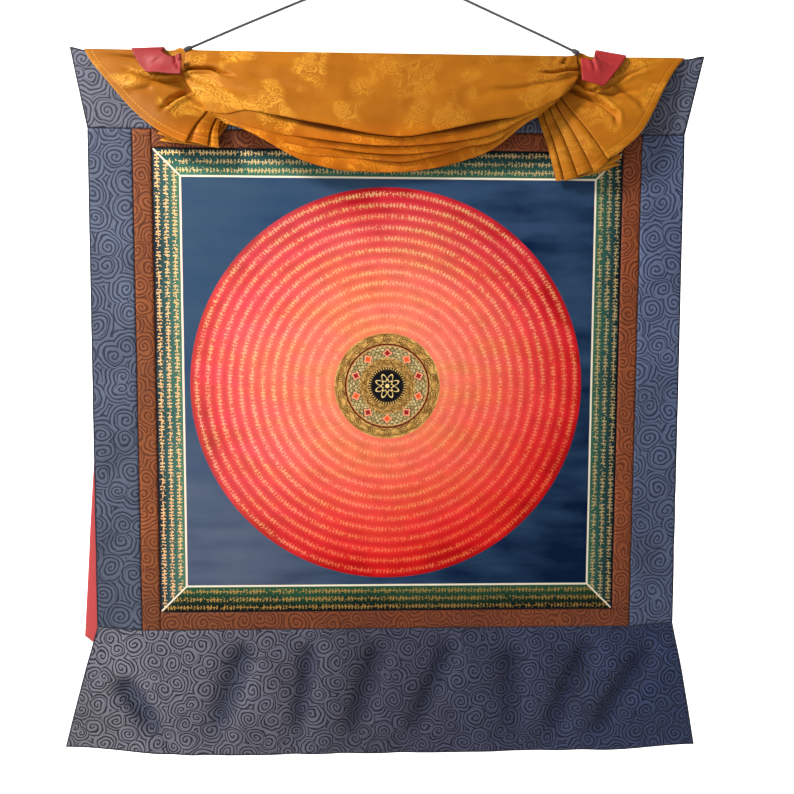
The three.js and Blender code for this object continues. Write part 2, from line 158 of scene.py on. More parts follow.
@dataclass(frozen=True)
class Crease:
    """A bent line on the cloth: a valley, with a ridge on the side that the ridge's sign names."""

    points: Sequence[Point]
    depth: float
    width: float
    ridge: float = 0.0
    start: float = 0.12

    def dent(self, x: float, z: float) -> float:
        """Give how far the crease pushes the cloth back at a place, in millimetres."""
        nearest, across, along, before = 1e9, 0.0, 0.0, 0.0
        for (x0, z0), (x1, z1) in zip(self.points, self.points[1:]):
            dx, dz = x1 - x0, z1 - z0
            length = math.hypot(dx, dz)
            share = clamp01(((x - x0) * dx + (z - z0) * dz) / length**2)
            far = math.hypot(x - x0 - dx * share, z - z0 - dz * share)
            if far < nearest:
                nearest, along = far, before + share * length
                across = math.copysign(far, (x - x0) * dz - (z - z0) * dx)
            before += length
        if nearest > 6 * self.width:
            return 0.0
        done = along / before
        fade = smooth((done + 0.02) / self.start) * smooth((1 - done) / 0.4)
        beside = math.copysign(1.0, self.ridge) * across
        ridge = abs(self.ridge) * bell((beside - 1.7 * self.width) / (1.2 * self.width))
        return fade * (self.depth * bell(across / self.width) - ridge)


class Value:
    """An output in a shader, on which sums are written as plain expressions."""

    def __init__(self, graph: "Graph", socket: bpy.types.NodeSocket) -> None:
        """Wrap a socket of a graph's node tree."""
        self.graph = graph
        self.socket = socket

    def _do(self, operation: str, *others: Number) -> "Value":
        """Add a Math node that works on this value and others."""
        return self.graph.node("ShaderNodeMath", {"operation": operation}, dict(enumerate((self, *others))))

    def _from(self, operation: str, other: Number) -> "Value":
        """Add a Math node with the other value first."""
        return self.graph.node("ShaderNodeMath", {"operation": operation}, {0: other, 1: self})

    def __add__(self, other: Number) -> "Value":
        """Add."""
        return self._do("ADD", other)

    __radd__ = __add__

    def __sub__(self, other: Number) -> "Value":
        """Subtract."""
        return self._do("SUBTRACT", other)

    def __rsub__(self, other: Number) -> "Value":
        """Subtract this value from another."""
        return self._from("SUBTRACT", other)

    def __mul__(self, other: Number) -> "Value":
        """Multiply."""
        return self._do("MULTIPLY", other)

    __rmul__ = __mul__

    def __truediv__(self, other: Number) -> "Value":
        """Divide."""
        return self._do("DIVIDE", other)

    def __rtruediv__(self, other: Number) -> "Value":
        """Divide another value by this one."""
        return self._from("DIVIDE", other)

    def __pow__(self, other: Number) -> "Value":
        """Raise to a power."""
        return self._do("POWER", other)

    def __abs__(self) -> "Value":
        """Drop the sign."""
        return self._do("ABSOLUTE")

    def sin(self) -> "Value":
        """Sine of an angle in radians."""
        return self._do("SINE")

    def cos(self) -> "Value":
        """Cosine of an angle in radians."""
        return self._do("COSINE")

    def floor(self) -> "Value":
        """Whole part."""
        return self._do("FLOOR")

    def fract(self) -> "Value":
        """Part after the point."""
        return self._do("FRACT")

    def root(self) -> "Value":
        """Square root."""
        return self._do("SQRT")

    def reach(self, other: "Value") -> "Value":
        """Length of the way whose two parts are this value and another."""
        return (self * self + other * other).root()

    def angle(self, x: Number) -> "Value":
        """Angle in radians of a place with this height over x."""
        return self._do("ARCTAN2", x)

    def most(self, other: Number) -> "Value":
        """The larger of two."""
        return self._do("MAXIMUM", other)

    def over(self, limit: Number) -> "Value":
        """1 above a limit, else 0."""
        return self._do("GREATER_THAN", limit)

    def rise(self, low: float, high: float) -> "Value":
        """Go smoothly from 0 at low to 1 at high, or down where low is the larger."""
        ends = {"Value": self, "From Min": low, "From Max": high}
        return self.graph.node("ShaderNodeMapRange", {"interpolation_type": "SMOOTHSTEP"}, ends)


class Graph:
    """A material's node tree, built from expressions."""

    def __init__(self, name: str) -> None:
        """Make an empty material of this name."""
        self.material = bpy.data.materials.new(name)
        self.material.use_nodes = True
        self.tree = self.material.node_tree
        self.tree.nodes.clear()

    def node(
        self,
        kind: str,
        settings: Optional[dict[str, Any]] = None,
        inputs: Optional[dict[Union[str, int], Any]] = None,
        output: Union[str, int] = 0,
    ) -> Value:
        """Add one node.

        Args:
            kind: The node's type.
            settings: What is set on the node first. The key stops fills a colour ramp.
            inputs: A value or a link for each socket that is named or numbered.
            output: The output that is wanted.

        Returns:
            That output.
        """
        made = self.tree.nodes.new(kind)
        for key, value in (settings or {}).items():
            if key == "stops":
                self._fill_ramp(made.color_ramp, value)
            else:
                setattr(made, key, value)
        for key, value in (inputs or {}).items():
            if isinstance(value, Value):
                self.tree.links.new(value.socket, made.inputs[key])
            else:
                made.inputs[key].default_value = value
        return Value(self, made.outputs[output])

    @staticmethod
    def _fill_ramp(ramp: bpy.types.ColorRamp, stops: Sequence[tuple[float, Colour]]) -> None:
        """Set a colour ramp's stops."""
        while len(ramp.elements) < len(stops):
            ramp.elements.new(1.0)
        for element, (place, colour) in zip(ramp.elements, stops):
            element.position = place
            element.color = colour

    def blend(self, share: Number, a: Union[Value, Colour], b: Union[Value, Colour]) -> Value:
        """Mix two colours."""
        return self.node("ShaderNodeMix", {"data_type": "RGBA"}, {0: share, 6: a, 7: b}, 2)

    def scaled(self, colour: Union[Value, Colour], factor: Number) -> Value:
        """Make a colour lighter or darker by a factor."""
        grey = self.node("ShaderNodeCombineColor", None, {0: factor, 1: factor, 2: factor})
        return self.tinted(colour, grey)

    def tinted(self, colour: Union[Value, Colour], tint: Union[Value, Colour]) -> Value:
        """Multiply two colours."""
        settings = {"data_type": "RGBA", "blend_type": "MULTIPLY"}
        return self.node("ShaderNodeMix", settings, {0: 1.0, 6: colour, 7: tint}, 2)

    def ramp(self, share: Value, *stops: tuple[float, Colour]) -> Value:
        """Run through colours, each given with its place."""
        return self.node("ShaderNodeValToRGB", {"stops": stops}, {0: share})

    def split(self, vector: Value) -> tuple[Value, Value, Value]:
        """Take the three numbers of a vector apart."""
        outputs = self.node("ShaderNodeSeparateXYZ", None, {0: vector}).socket.node.outputs
        return Value(self, outputs[0]), Value(self, outputs[1]), Value(self, outputs[2])

    def behind(self) -> Value:
        """Give 1 on the back of a hung sheet and 0 on its front."""
        return self.split(self.node("ShaderNodeTexCoord", output="Normal"))[1].over(0.5)

    def place(self) -> tuple[Value, Value, Value]:
        """Give the place on the piece in millimetres, as three values."""
        x, y, z = self.split(self.node("ShaderNodeTexCoord", output="Object"))
        return x / MM, y / MM, z / MM

    def cut(self) -> tuple[Value, Value, Value]:
        """Give the three numbers kept on the cloth: across, along, and distance from its hem, in mm."""
        kept = self.node("ShaderNodeAttribute", {"attribute_name": CUT}, None, "Vector")
        across, along, hem = self.split(kept)
        return across / MM, along / MM, hem / MM

    def vector(self, x: Number, y: Number, z: Number = 0.0) -> Value:
        """Join three numbers."""
        return self.node("ShaderNodeCombineXYZ", None, {0: x, 1: y, 2: z})

    def cloudy(self, x: Number, y: Number, size: float, detail: float = 2.0) -> Value:
        """Soft noise from 0 to 1 whose blotches are about size millimetres wide."""
        at = self.vector(x, y)
        inputs = {"Vector": at, "Scale": 1.0 / size, "Detail": detail}
        return self.node("ShaderNodeTexNoise", {"noise_dimensions": "2D"}, inputs)

    def cell(self, u: Value, v: Value, randomness: float, feature: str, output: str) -> Value:
        """Give one output for the irregular cell that a place lies in."""
        settings = {"voronoi_dimensions": "2D", "feature": feature}
        inputs = {"Vector": self.vector(u, v), "Scale": 1.0, "Randomness": randomness}
        return self.node("ShaderNodeTexVoronoi", settings, inputs, output)

    def from_centre(self, u: Value, v: Value, randomness: float) -> tuple[Value, Value]:
        """Give the way to a place from the middle of its cell."""
        x, y, _ = self.split(self.cell(u, v, randomness, "F1", "Position"))
        return u - x, v - y

    def chance(self, x: Number, y: Number) -> Value:
        """A fixed random number from 0 to 1 for a pair of whole numbers."""
        return self.node("ShaderNodeTexWhiteNoise", {"noise_dimensions": "2D"}, {"Vector": self.vector(x, y)})

    def bump(self, height: Number, depth_mm: float, strength: float = 1.0) -> Value:
        """Turn a height from 0 to 1 into a bumped normal."""
        inputs = {"Height": height, "Distance": depth_mm * MM, "Strength": strength}
        return self.node("ShaderNodeBump", None, inputs)

    def surface(self, links: dict[str, Any]) -> bpy.types.Material:
        """Finish the material with one shader.

        Args:
            links: A value or a link for each socket of the shader.

        Returns:
            The material.
        """
        shader = self.node("ShaderNodeBsdfPrincipled", None, links)
        end = self.tree.nodes.new("ShaderNodeOutputMaterial")
        self.tree.links.new(shader.socket, end.inputs["Surface"])
        return self.material


class Slot(Enum):
    """The material slots of the solids."""

    PAINTING = "painting"
    BROWN = "brown_brocade"
    BLUE = "blue_brocade"
    GOLD = "gold_silk"
    RED = "red_silk"
    CORD = "cord"


class Held(Enum):
    """How a piece of cloth is held."""

    HUNG = "hung"
    DRAPED = "draped"
    GATHERED = "gathered"


@dataclass(frozen=True)
class Brocade:
    """Satin brocade woven all over with spirals and cloud trails.

    The painted_light_tints are colour tints at the left, the middle and the right: painted light,
    brighter to the left and darker to the right, and partly the cloth's own hue. low is painted
    shade: the height where the cloth is darkest, the height where it starts to darken, and the share
    of light that it loses.
    """

    name: str
    light: Colour
    line: Colour
    edge: Colour
    spacing: float
    pitch: float
    shift: float
    tilt: float
    painted_light_tints: tuple[Colour, Colour, Colour]
    low: tuple[float, float, float] = (-620.0, -330.0, 0.26)
    round_share: float = 0.98
    scatter: float = 0.66
    sway: float = 11.0
    sway_size: float = 34.0
    wobble: float = 1.7
    wobble_size: float = 7.0

    def build(self) -> bpy.types.Material:
        """Make the brocade's material."""
        g = Graph(self.name)
        x, _, z = g.place()
        c, s = math.cos(self.tilt), math.sin(self.tilt)
        wide_x = (g.cloudy(x, z, self.sway_size) - 0.5) * self.sway
        wide_z = (g.cloudy(z + 300.0, x, self.sway_size) - 0.5) * self.sway
        near_x = (g.cloudy(x + 90.0, z, self.wobble_size, 1.0) - 0.5) * self.wobble
        near_z = (g.cloudy(z - 60.0, x, self.wobble_size, 1.0) - 0.5) * self.wobble
        u = (x * c + z * s + wide_x + near_x) / self.spacing + self.shift
        v = (z * c - x * s + wide_z + near_z) / self.spacing + self.shift * 1.7
        woven = self.spirals(g, u, v)
        soft = g.cloudy(x, z, 60.0, 3.0)
        fine = g.cloudy(x, z, 0.9, 1.0)
        threads = ((x + z) * (FULL_TURN / 1.1)).sin() * 0.5 + 0.5
        # Painted shade: the cloth darkens towards the bottom by the share in low.
        bottom, top, loss = self.low
        level = 1.0 - z.rise(top, bottom) * loss
        light = g.scaled(self.light, (soft * 0.6 + fine * 0.35 + 0.52) * level)
        line = g.scaled(self.line, (fine * 0.5 + soft * 0.3 + 0.6) * level)
        # Painted light: tints from left to right that make the cloth brighter to the left and darker to the
        # right, partly the cloth's own hue.
        left, middle, right = self.painted_light_tints
        painted_tint = g.ramp(x / 660.0 + 0.5, (0.05, left), (0.5, middle), (0.95, right))
        cloth = g.tinted(g.blend(woven, line, light), painted_tint)
        seam, deep, hem = g.cut()
        # Painted shade: darker and bluer where the troughs of the cloth lie deep.
        cloth = g.tinted(cloth, g.blend(deep.rise(1.0, 7.0), WHITE, (0.44, 0.50, 0.62, 1.0)))
        rim = hem.rise(2.2, 1.2).most(seam.rise(1.1, 0.3) * 0.75)
        colour = g.blend(rim, cloth, self.edge)
        roughness = 0.66 - woven * 0.2 + soft * 0.08
        height = woven * 0.7 + threads * 0.16 + fine * 0.25
        return g.surface({
            "Base Color": colour,
            "Roughness": roughness,
            "Normal": g.bump(height, 0.22),
            "Specular IOR Level": 0.26,
        })

    def spirals(self, g: Graph, u: Value, v: Value) -> Value:
        """Give 1 on the light bands of the spirals and 0 on the dark lines between them."""
        kind = g.cell(u, v, self.scatter, "F1", "Color")
        reach = g.cell(u, v, self.scatter, "N_SPHERE_RADIUS", "Radius")
        dx, dy = g.from_centre(u, v, self.scatter)
        far = dx.reach(dy) * self.spacing
        round_share = dy.angle(dx) / FULL_TURN
        hand = g.node("ShaderNodeSeparateColor", None, {0: kind}, 0).over(0.5) * 2.0 - 1.0
        phase = g.node("ShaderNodeSeparateColor", None, {0: kind}, 1)
        radius = reach * (self.spacing * self.round_share)
        coil = (far / self.pitch - round_share * hand + phase).fract()
        inside = radius.over(far)
        trail = ((far - radius) / (self.pitch * 0.92) + 0.5).fract()
        wave = inside * coil + (1.0 - inside) * trail
        return abs(wave - 0.5).rise(0.4, 0.2)


@dataclass(frozen=True)
class Ornament:
    """A running band of fine gold leaves on a winding stem, repeated in rows."""

    cell: float
    row: float

    def mask(self, g: Graph, along: Value, across: Value, row: Number) -> Value:
        """Draw the band.

        Args:
            g: The graph to draw in.
            along: Place along the band, one unit for each leaf.
            across: Place across the band, from -0.5 to 0.5.
            row: The band's number, which varies its leaves.

        Returns:
            1 on gold and 0 beside it.
        """
        leaf = along.floor()
        f = (along.fract() - 0.5) * self.cell
        h = across * self.row
        luck = g.chance(leaf, row)
        other = g.chance(leaf + 31.0, row)
        third = g.chance(leaf + 77.0, row)
        side = (leaf * 0.5).fract().over(0.25) * 2.0 - 1.0
        sway = (along * math.pi).sin() * 0.45
        stem = abs(h - sway).rise(0.55, 0.25) * luck.over(0.25)
        up = h * side
        lean = f * (other * 0.8 - 0.1) + up - 1.1
        wide = f - up * (other - 0.35)
        blade = ((lean / (luck * 0.7 + 0.9)) ** 2.0 + (wide / (third * 0.3 + 0.42)) ** 2.0).rise(1.4, 0.6)
        curl_x = f + (third - 0.5) * 1.6
        curl_y = up + other * 0.8 + 0.8
        curl_far = curl_x.reach(curl_y)
        curl = abs(curl_far - (luck * 0.35 + 0.6)).rise(0.42, 0.16) * third.over(0.3)
        dot_x = f - (luck - 0.5) * 2.0
        dot_y = up - 2.1 - other * 0.6
        dot = dot_x.reach(dot_y).rise(0.62, 0.3) * other.over(0.35)
        return (stem * 0.85).most(blade).most(curl).most(dot * 0.8)


@dataclass(frozen=True)
class Painting:
    """The painted cloth: a red disc in gold rings on a blue field, with a green border."""

    half: float = PAINTING_SIDE / 2
    disc_x: float = -2.0
    disc_z: float = -0.6
    disc: float = 211.5
    medal: float = 57.0
    rings: int = 13
    inner: float = 219.8
    cream: float = 2.0
    border_rows: int = 3
    leaf: float = 3.6
    blossoms: int = 10

    def build(self) -> bpy.types.Material:
        """Make the painting's material."""
        g = Graph("painted_cloth")
        x, _, raw_z = g.place()
        z = raw_z - PAINTING_MIDDLE
        px, pz = x - self.disc_x, z - self.disc_z
        far = px.reach(pz)
        turn = pz.angle(px) / FULL_TURN
        brush = g.cloudy(x, z * 4.0, 90.0, 4.0)
        soft = g.cloudy(x, z, 70.0, 3.0)
        fine = g.cloudy(x, z, 2.2, 3.0)
        field_colour = self.field_colour(g, x, z, brush, soft)
        disc_colour, disc_gold = self.disc_colour(g, far, turn, brush, soft, fine)
        medal_colour = self.medal_colour(g, far, turn, fine)
        border_colour, border_gold = self.border_colour(g, x, z, fine, soft)
        edge = abs(x).most(abs(z))
        gilt = disc_gold.most(border_gold * edge.over(self.inner))
        colour = g.blend(far.rise(self.disc + 0.5, self.disc - 0.5), field_colour, disc_colour)
        colour = g.blend(far.rise(self.medal + 0.5, self.medal - 0.4), colour, medal_colour)
        colour = g.blend(edge.rise(self.inner - 0.3, self.inner + 0.3), colour, border_colour)
        # Painted light: the whole painting a little lighter to the upper left.
        colour = g.scaled(colour, x * -0.0005 + z * 0.0004 + 1.0)
        behind = g.behind()
        gilt = gilt * (1.0 - behind)
        colour = g.blend(behind, colour, g.blend(fine, tone(134, 124, 102), tone(152, 142, 120)))
        weave = (x * (FULL_TURN / 0.9)).sin() * (z * (FULL_TURN / 0.9)).sin()
        roughness = 0.5 + soft * 0.18 + fine * 0.06
        return g.surface({
            "Base Color": colour,
            "Metallic": gilt * 0.5,
            "Roughness": roughness,
            "Normal": g.bump(weave * 0.25 + fine * 0.5, 0.12),
            "Specular IOR Level": 0.06,
        })

    def field_colour(self, g: Graph, x: Value, z: Value, brush: Value, soft: Value) -> Value:
        """Blue ground, brushed from side to side, with painted light: lighter to the upper left, and a grey
        painted glare over the lower left.
        """
        slope = x * -0.0010 + z * 0.0006 + 0.5 + (brush - 0.5) * 0.8 + (soft - 0.5) * 0.4
        blue = g.ramp(slope, (0.1, tone(0, 24, 54)), (0.52, tone(42, 66, 95)), (1.0, tone(54, 76, 98)))
        # Painted glare: a blotchy grey sheen over the lower left.
        blotched = x.rise(40.0, -200.0) * z.rise(40.0, -200.0) * (brush * 0.6 + 0.16)
        return g.blend(blotched, blue, tone(104, 108, 122))

    def gold(self, g: Graph, fine: Value) -> Value:
        """Gold paint, a little uneven."""
        return g.blend(fine, tone(204, 158, 86), tone(240, 216, 156))

    def disc_colour(
        self, g: Graph, far: Value, turn: Value, brush: Value, soft: Value, fine: Value
    ) -> tuple[Value, Value]:
        """Give the disc's colour, red at the rim to coral within, and where its rings are gilt."""
        share = (far - self.medal) / (self.disc - self.medal)
        blotched = share + (soft - 0.5) * 0.34 + (brush - 0.5) * 0.16
        ground = g.ramp(
            blotched,
            (0.0, tone(250, 130, 96)),
            (0.35, tone(246, 104, 84)),
            (0.7, tone(232, 64, 64)),
            (0.93, tone(212, 34, 44)),
            (1.0, tone(186, 16, 28)),
        )
        pitch = (self.disc - self.medal - 2.0) / self.rings
        rung = (far - self.medal - 1.0) / pitch
        ring = rung.floor()
        radius = (ring + 0.5) * pitch + self.medal + 1.0
        cells = (radius * (FULL_TURN / self.leaf)).floor()
        even = (cells / 2.0).floor() * 2.0
        along = (turn + ring * 0.137).fract() * even
        across = rung.fract() - 0.5
        mask = Ornament(self.leaf, pitch).mask(g, along, across, ring)
        band = abs(across).rise(0.5, 0.2) * (g.chance(ring, 7.0) * 0.5 + 0.5)
        streak = g.cloudy(turn * 260.0, far * 0.55, 7.0, 3.0)
        ground = g.scaled(ground, 0.84 + band * 0.16 * share + (streak - 0.5) * 0.36 + (fine - 0.5) * 0.16)
        haze = g.blend(abs(across).rise(0.42, 0.1) * (1.0 - share * 0.7) * 0.12, ground, tone(252, 176, 124))
        within = far.rise(self.disc - 0.2, self.disc - 1.6)
        flow = g.cloudy(turn * 60.0, ring * 3.0, 2.4, 1.0).rise(0.25, 0.6) * 0.4 + 0.6
        strength = mask * within * flow * (fine * 0.5 + 0.65) * (share.rise(-0.1, 0.6) * 0.45 + 0.5)
        gold = g.blend(share.rise(0.1, 0.9), tone(255, 198, 146), tone(252, 178, 124))
        on_disc = far.rise(self.disc, self.disc - 1.0) * far.over(self.medal)
        side = (turn * FULL_TURN).cos() * far
        above = (turn * FULL_TURN).sin() * far
        # Painted light: glare to the left and top makes the disc more pink and paler and its gold fainter
        # there, and painted shade makes it deeper and more red to the lower right.
        left, top = side.rise(-20.0, -190.0), above.rise(70.0, 200.0)
        painted_shade_red = g.ramp(side * 0.0024 - above * 0.0046, (0.04, WHITE), (0.92, (0.97, 0.42, 0.36, 1.0)))
        painted_glare_pink = g.blend(left, WHITE, (1.0, 1.3, 1.5, 1.0))
        painted_glare_pink = g.tinted(painted_glare_pink, g.blend(top, WHITE, (0.84, 1.25, 1.25, 1.0)))
        haze = g.blend(left * share.rise(0.1, 1.0) * 0.06, haze, tone(255, 168, 130))
        strength = strength * (1.0 - (left + top) * 0.14)
        patches = g.blend(brush.rise(0.32, 0.68), (1.03, 0.90, 1.08, 1.0), (0.98, 1.07, 0.86, 1.0))
        tint = g.tinted(g.tinted(painted_shade_red, painted_glare_pink), patches)
        return g.tinted(g.blend(strength, haze, gold), tint), strength * on_disc

    def medal_colour(self, g: Graph, far: Value, turn: Value, fine: Value) -> Value:
        """A gold rosette: an engraved band, a wreath of small flowers, petals and a dark heart."""
        metal = g.cloudy(turn * 90.0, far, 3.2, 3.0).rise(0.3, 0.7)
        gold = g.blend(metal, tone(150, 104, 46), tone(214, 168, 92))
        dark = tone(62, 42, 22)
        heart = tone(16, 15, 22)

        def ring_at(radius: float, half_width: float) -> Value:
            """A thin ring."""
            return abs(far - radius).rise(half_width + 0.25, half_width - 0.1)

        def petals(count: int, low: float, high: float, line: float, phase: float = 0.0) -> Value:
            """Outlines of petals between two radii."""
            local = abs((turn * count + phase).fract() - 0.5) * 2.0
            arch = high - (local**2.2) * (high - low)
            return abs(far - arch).rise(line + 0.3, line - 0.2)

        def scrolls(count: int, radius: float, size: float, pitch: float) -> Value:
            """Small coils side by side round a ring."""
            local = (turn * count).fract() - 0.5
            dx = local * (FULL_TURN * radius / count)
            dy = far - radius
            reach = dx.reach(dy)
            coil = (reach / pitch - dy.angle(dx) / FULL_TURN).fract()
            return abs(coil - 0.5).rise(0.16, 0.34) * reach.rise(size, size - 0.4)

        def scales(low: float, step: float, count: int) -> Value:
            """Rows of small overlapping scales."""
            rung = (far - low) / step
            local = abs((turn * count + rung.floor() * 0.5).fract() - 0.5) * 2.0
            return abs(rung.fract() - 0.95 + (local**2.0) * 0.8).rise(0.3, 0.12)

        band = scrolls(18, 51.0, 5.2, 2.1)
        band = band.most(petals(36, 45.4, 48.6, 0.4)).most(petals(36, 56.0, 53.4, 0.4, 0.5))
        colour = g.blend(band * 0.8, gold, dark)
        colour = g.blend(ring_at(57.2, 0.4) * 0.6, colour, tone(222, 178, 92))
        leafage = scales(30.0, 2.9, 48)
        cream = g.blend(metal, tone(152, 128, 76), tone(212, 188, 130))
        wreath_colour = g.blend(leafage * 0.9, cream, tone(36, 34, 28))
        wreath = 35.5
        local = (turn * self.blossoms).fract() - 0.5
        bloom_x = local * (FULL_TURN * wreath / self.blossoms)
        bloom_y = far - wreath
        bloom_far = bloom_x.reach(bloom_y)
        bloom_turn = bloom_y.angle(bloom_x)
        lobes = (bloom_turn * 4.0).cos() * 0.9 + 4.4
        shadow = (bloom_far - lobes).rise(1.0, 0.4)
        bloom = (bloom_far - lobes).rise(0.3, -0.3)
        core = (bloom_far - lobes * 0.6).rise(0.3, -0.3)
        parity = ((turn * self.blossoms).floor() * 0.5).fract().over(0.25)
        deep = g.blend(parity, tone(150, 24, 34), tone(226, 84, 36))
        petal_colour = g.blend(core, tone(236, 156, 112), deep)
        wreath_colour = g.blend(shadow, wreath_colour, tone(30, 26, 24))
        wreath_colour = g.blend(bloom, wreath_colour, petal_colour)
        colour = g.blend(far.rise(44.6, 43.9), colour, wreath_colour)
        colour = g.blend(ring_at(45.0, 0.8), colour, tone(92, 22, 22))
        colour = g.blend(ring_at(43.4, 0.3), colour, tone(220, 150, 80))
        leafwork = scales(21.0, 2.4, 40) * 0.6
        for count, low, high, line, phase in (
            (8, 19.5, 30.5, 0.4, 0.0),
            (8, 19.5, 27.5, 0.35, 0.5),
            (24, 21.5, 25.0, 0.3, 0.0),
            (8, 17.5, 26.5, 0.3, 0.0),
        ):
            leafwork = leafwork.most(petals(count, low, high, line, phase))
        colour = g.blend(far.rise(30.6, 30.0), colour, g.blend(leafwork * 0.85, gold, dark))
        bead = (((turn * 44.0).fract() - 0.5) ** 2.0 * 36.0 + ((far - 19.0) / 1.2) ** 2.0).rise(1.2, 0.6)
        colour = g.blend(far.rise(20.4, 20.0), colour, g.blend(bead, dark, tone(230, 196, 118)))
        colour = g.blend(far.rise(16.9, 16.5), colour, heart)
        lotus_local = abs((turn * 8.0).fract() - 0.5) * 2.0
        lotus = 13.2 - (lotus_local**1.6) * 7.5
        outline = abs(far - lotus).rise(1.05, 0.5)
        small = abs(far - (7.0 - ((1.0 - lotus_local) ** 1.6) * 2.6)).rise(0.85, 0.35)
        seed = far.rise(2.6, 2.0)
        shine = g.blend(fine, tone(222, 176, 92), tone(252, 228, 160))
        return g.blend(outline.most(small).most(seed), colour, shine)

    def border_colour(self, g: Graph, x: Value, z: Value, fine: Value, soft: Value) -> tuple[Value, Value]:
        """Give the border's colour, green with three rows of leaves, and where it is gilt."""
        ax, az = abs(x), abs(z)
        edge = ax.most(az)
        flat = az.over(ax)
        along = flat * x + (1.0 - flat) * z
        share = (edge - self.inner) / (self.half - self.inner) + (soft - 0.5) * 0.5
        low = z.rise(-120.0, -240.0) * flat
        green = ((0.0, tone(54, 99, 75)), (0.55, tone(36, 71, 67)), (1.0, tone(16, 30, 36)))
        ground = g.ramp(share + low * 0.3, *green)
        # Painted light: the green ground lighter to the left.
        ground = g.scaled(ground, x.rise(60.0, -240.0) * 0.5 + 1.0)
        ground = g.blend(low * 0.8, ground, g.ramp(share, (0.1, tone(34, 74, 42)), (0.9, tone(6, 14, 10))))
        start = self.inner + self.cream + 0.8
        pitch = (self.half - start - 0.8) / self.border_rows
        rung = (edge - start) / pitch
        ornament = Ornament(self.leaf, pitch * 0.92)
        side = flat * 2.0 + x.over(0.0) + z.over(0.0) * 4.0
        row = rung.floor() + side * 5.0
        mask = ornament.mask(g, along / self.leaf + side * 0.31, rung.fract() - 0.5, row)
        inside = rung.rise(-0.02, 0.06) * edge.rise(self.half - 0.6, self.half - 1.4)
        gilt = mask * inside * (fine * 0.4 + 0.65) * (1.0 - low * 0.3)
        paint = g.blend(low, self.gold(g, fine), tone(206, 158, 76))
        # Painted light: the gold lighter to the left.
        colour = g.blend(gilt, ground, g.scaled(paint, x.rise(60.0, -240.0) * 0.35 + 0.95))
        cream = tone(236, 222, 196)
        line = edge.rise(self.inner + self.cream + 0.25, self.inner + self.cream - 0.25)
        mitre = abs(ax - az).rise(1.5, 0.9)
        colour = g.blend(line.most(mitre), colour, cream)
        gilt = gilt * (1.0 - line.most(mitre))
        colour = g.tinted(colour, g.blend(x.rise(-80.0, -240.0) * (1.0 - flat), WHITE, (1.3, 1.0, 1.02, 1.0)))
        return g.blend(edge.rise(self.half - 1.5, self.half - 1.0), colour, tone(22, 20, 26)), gilt


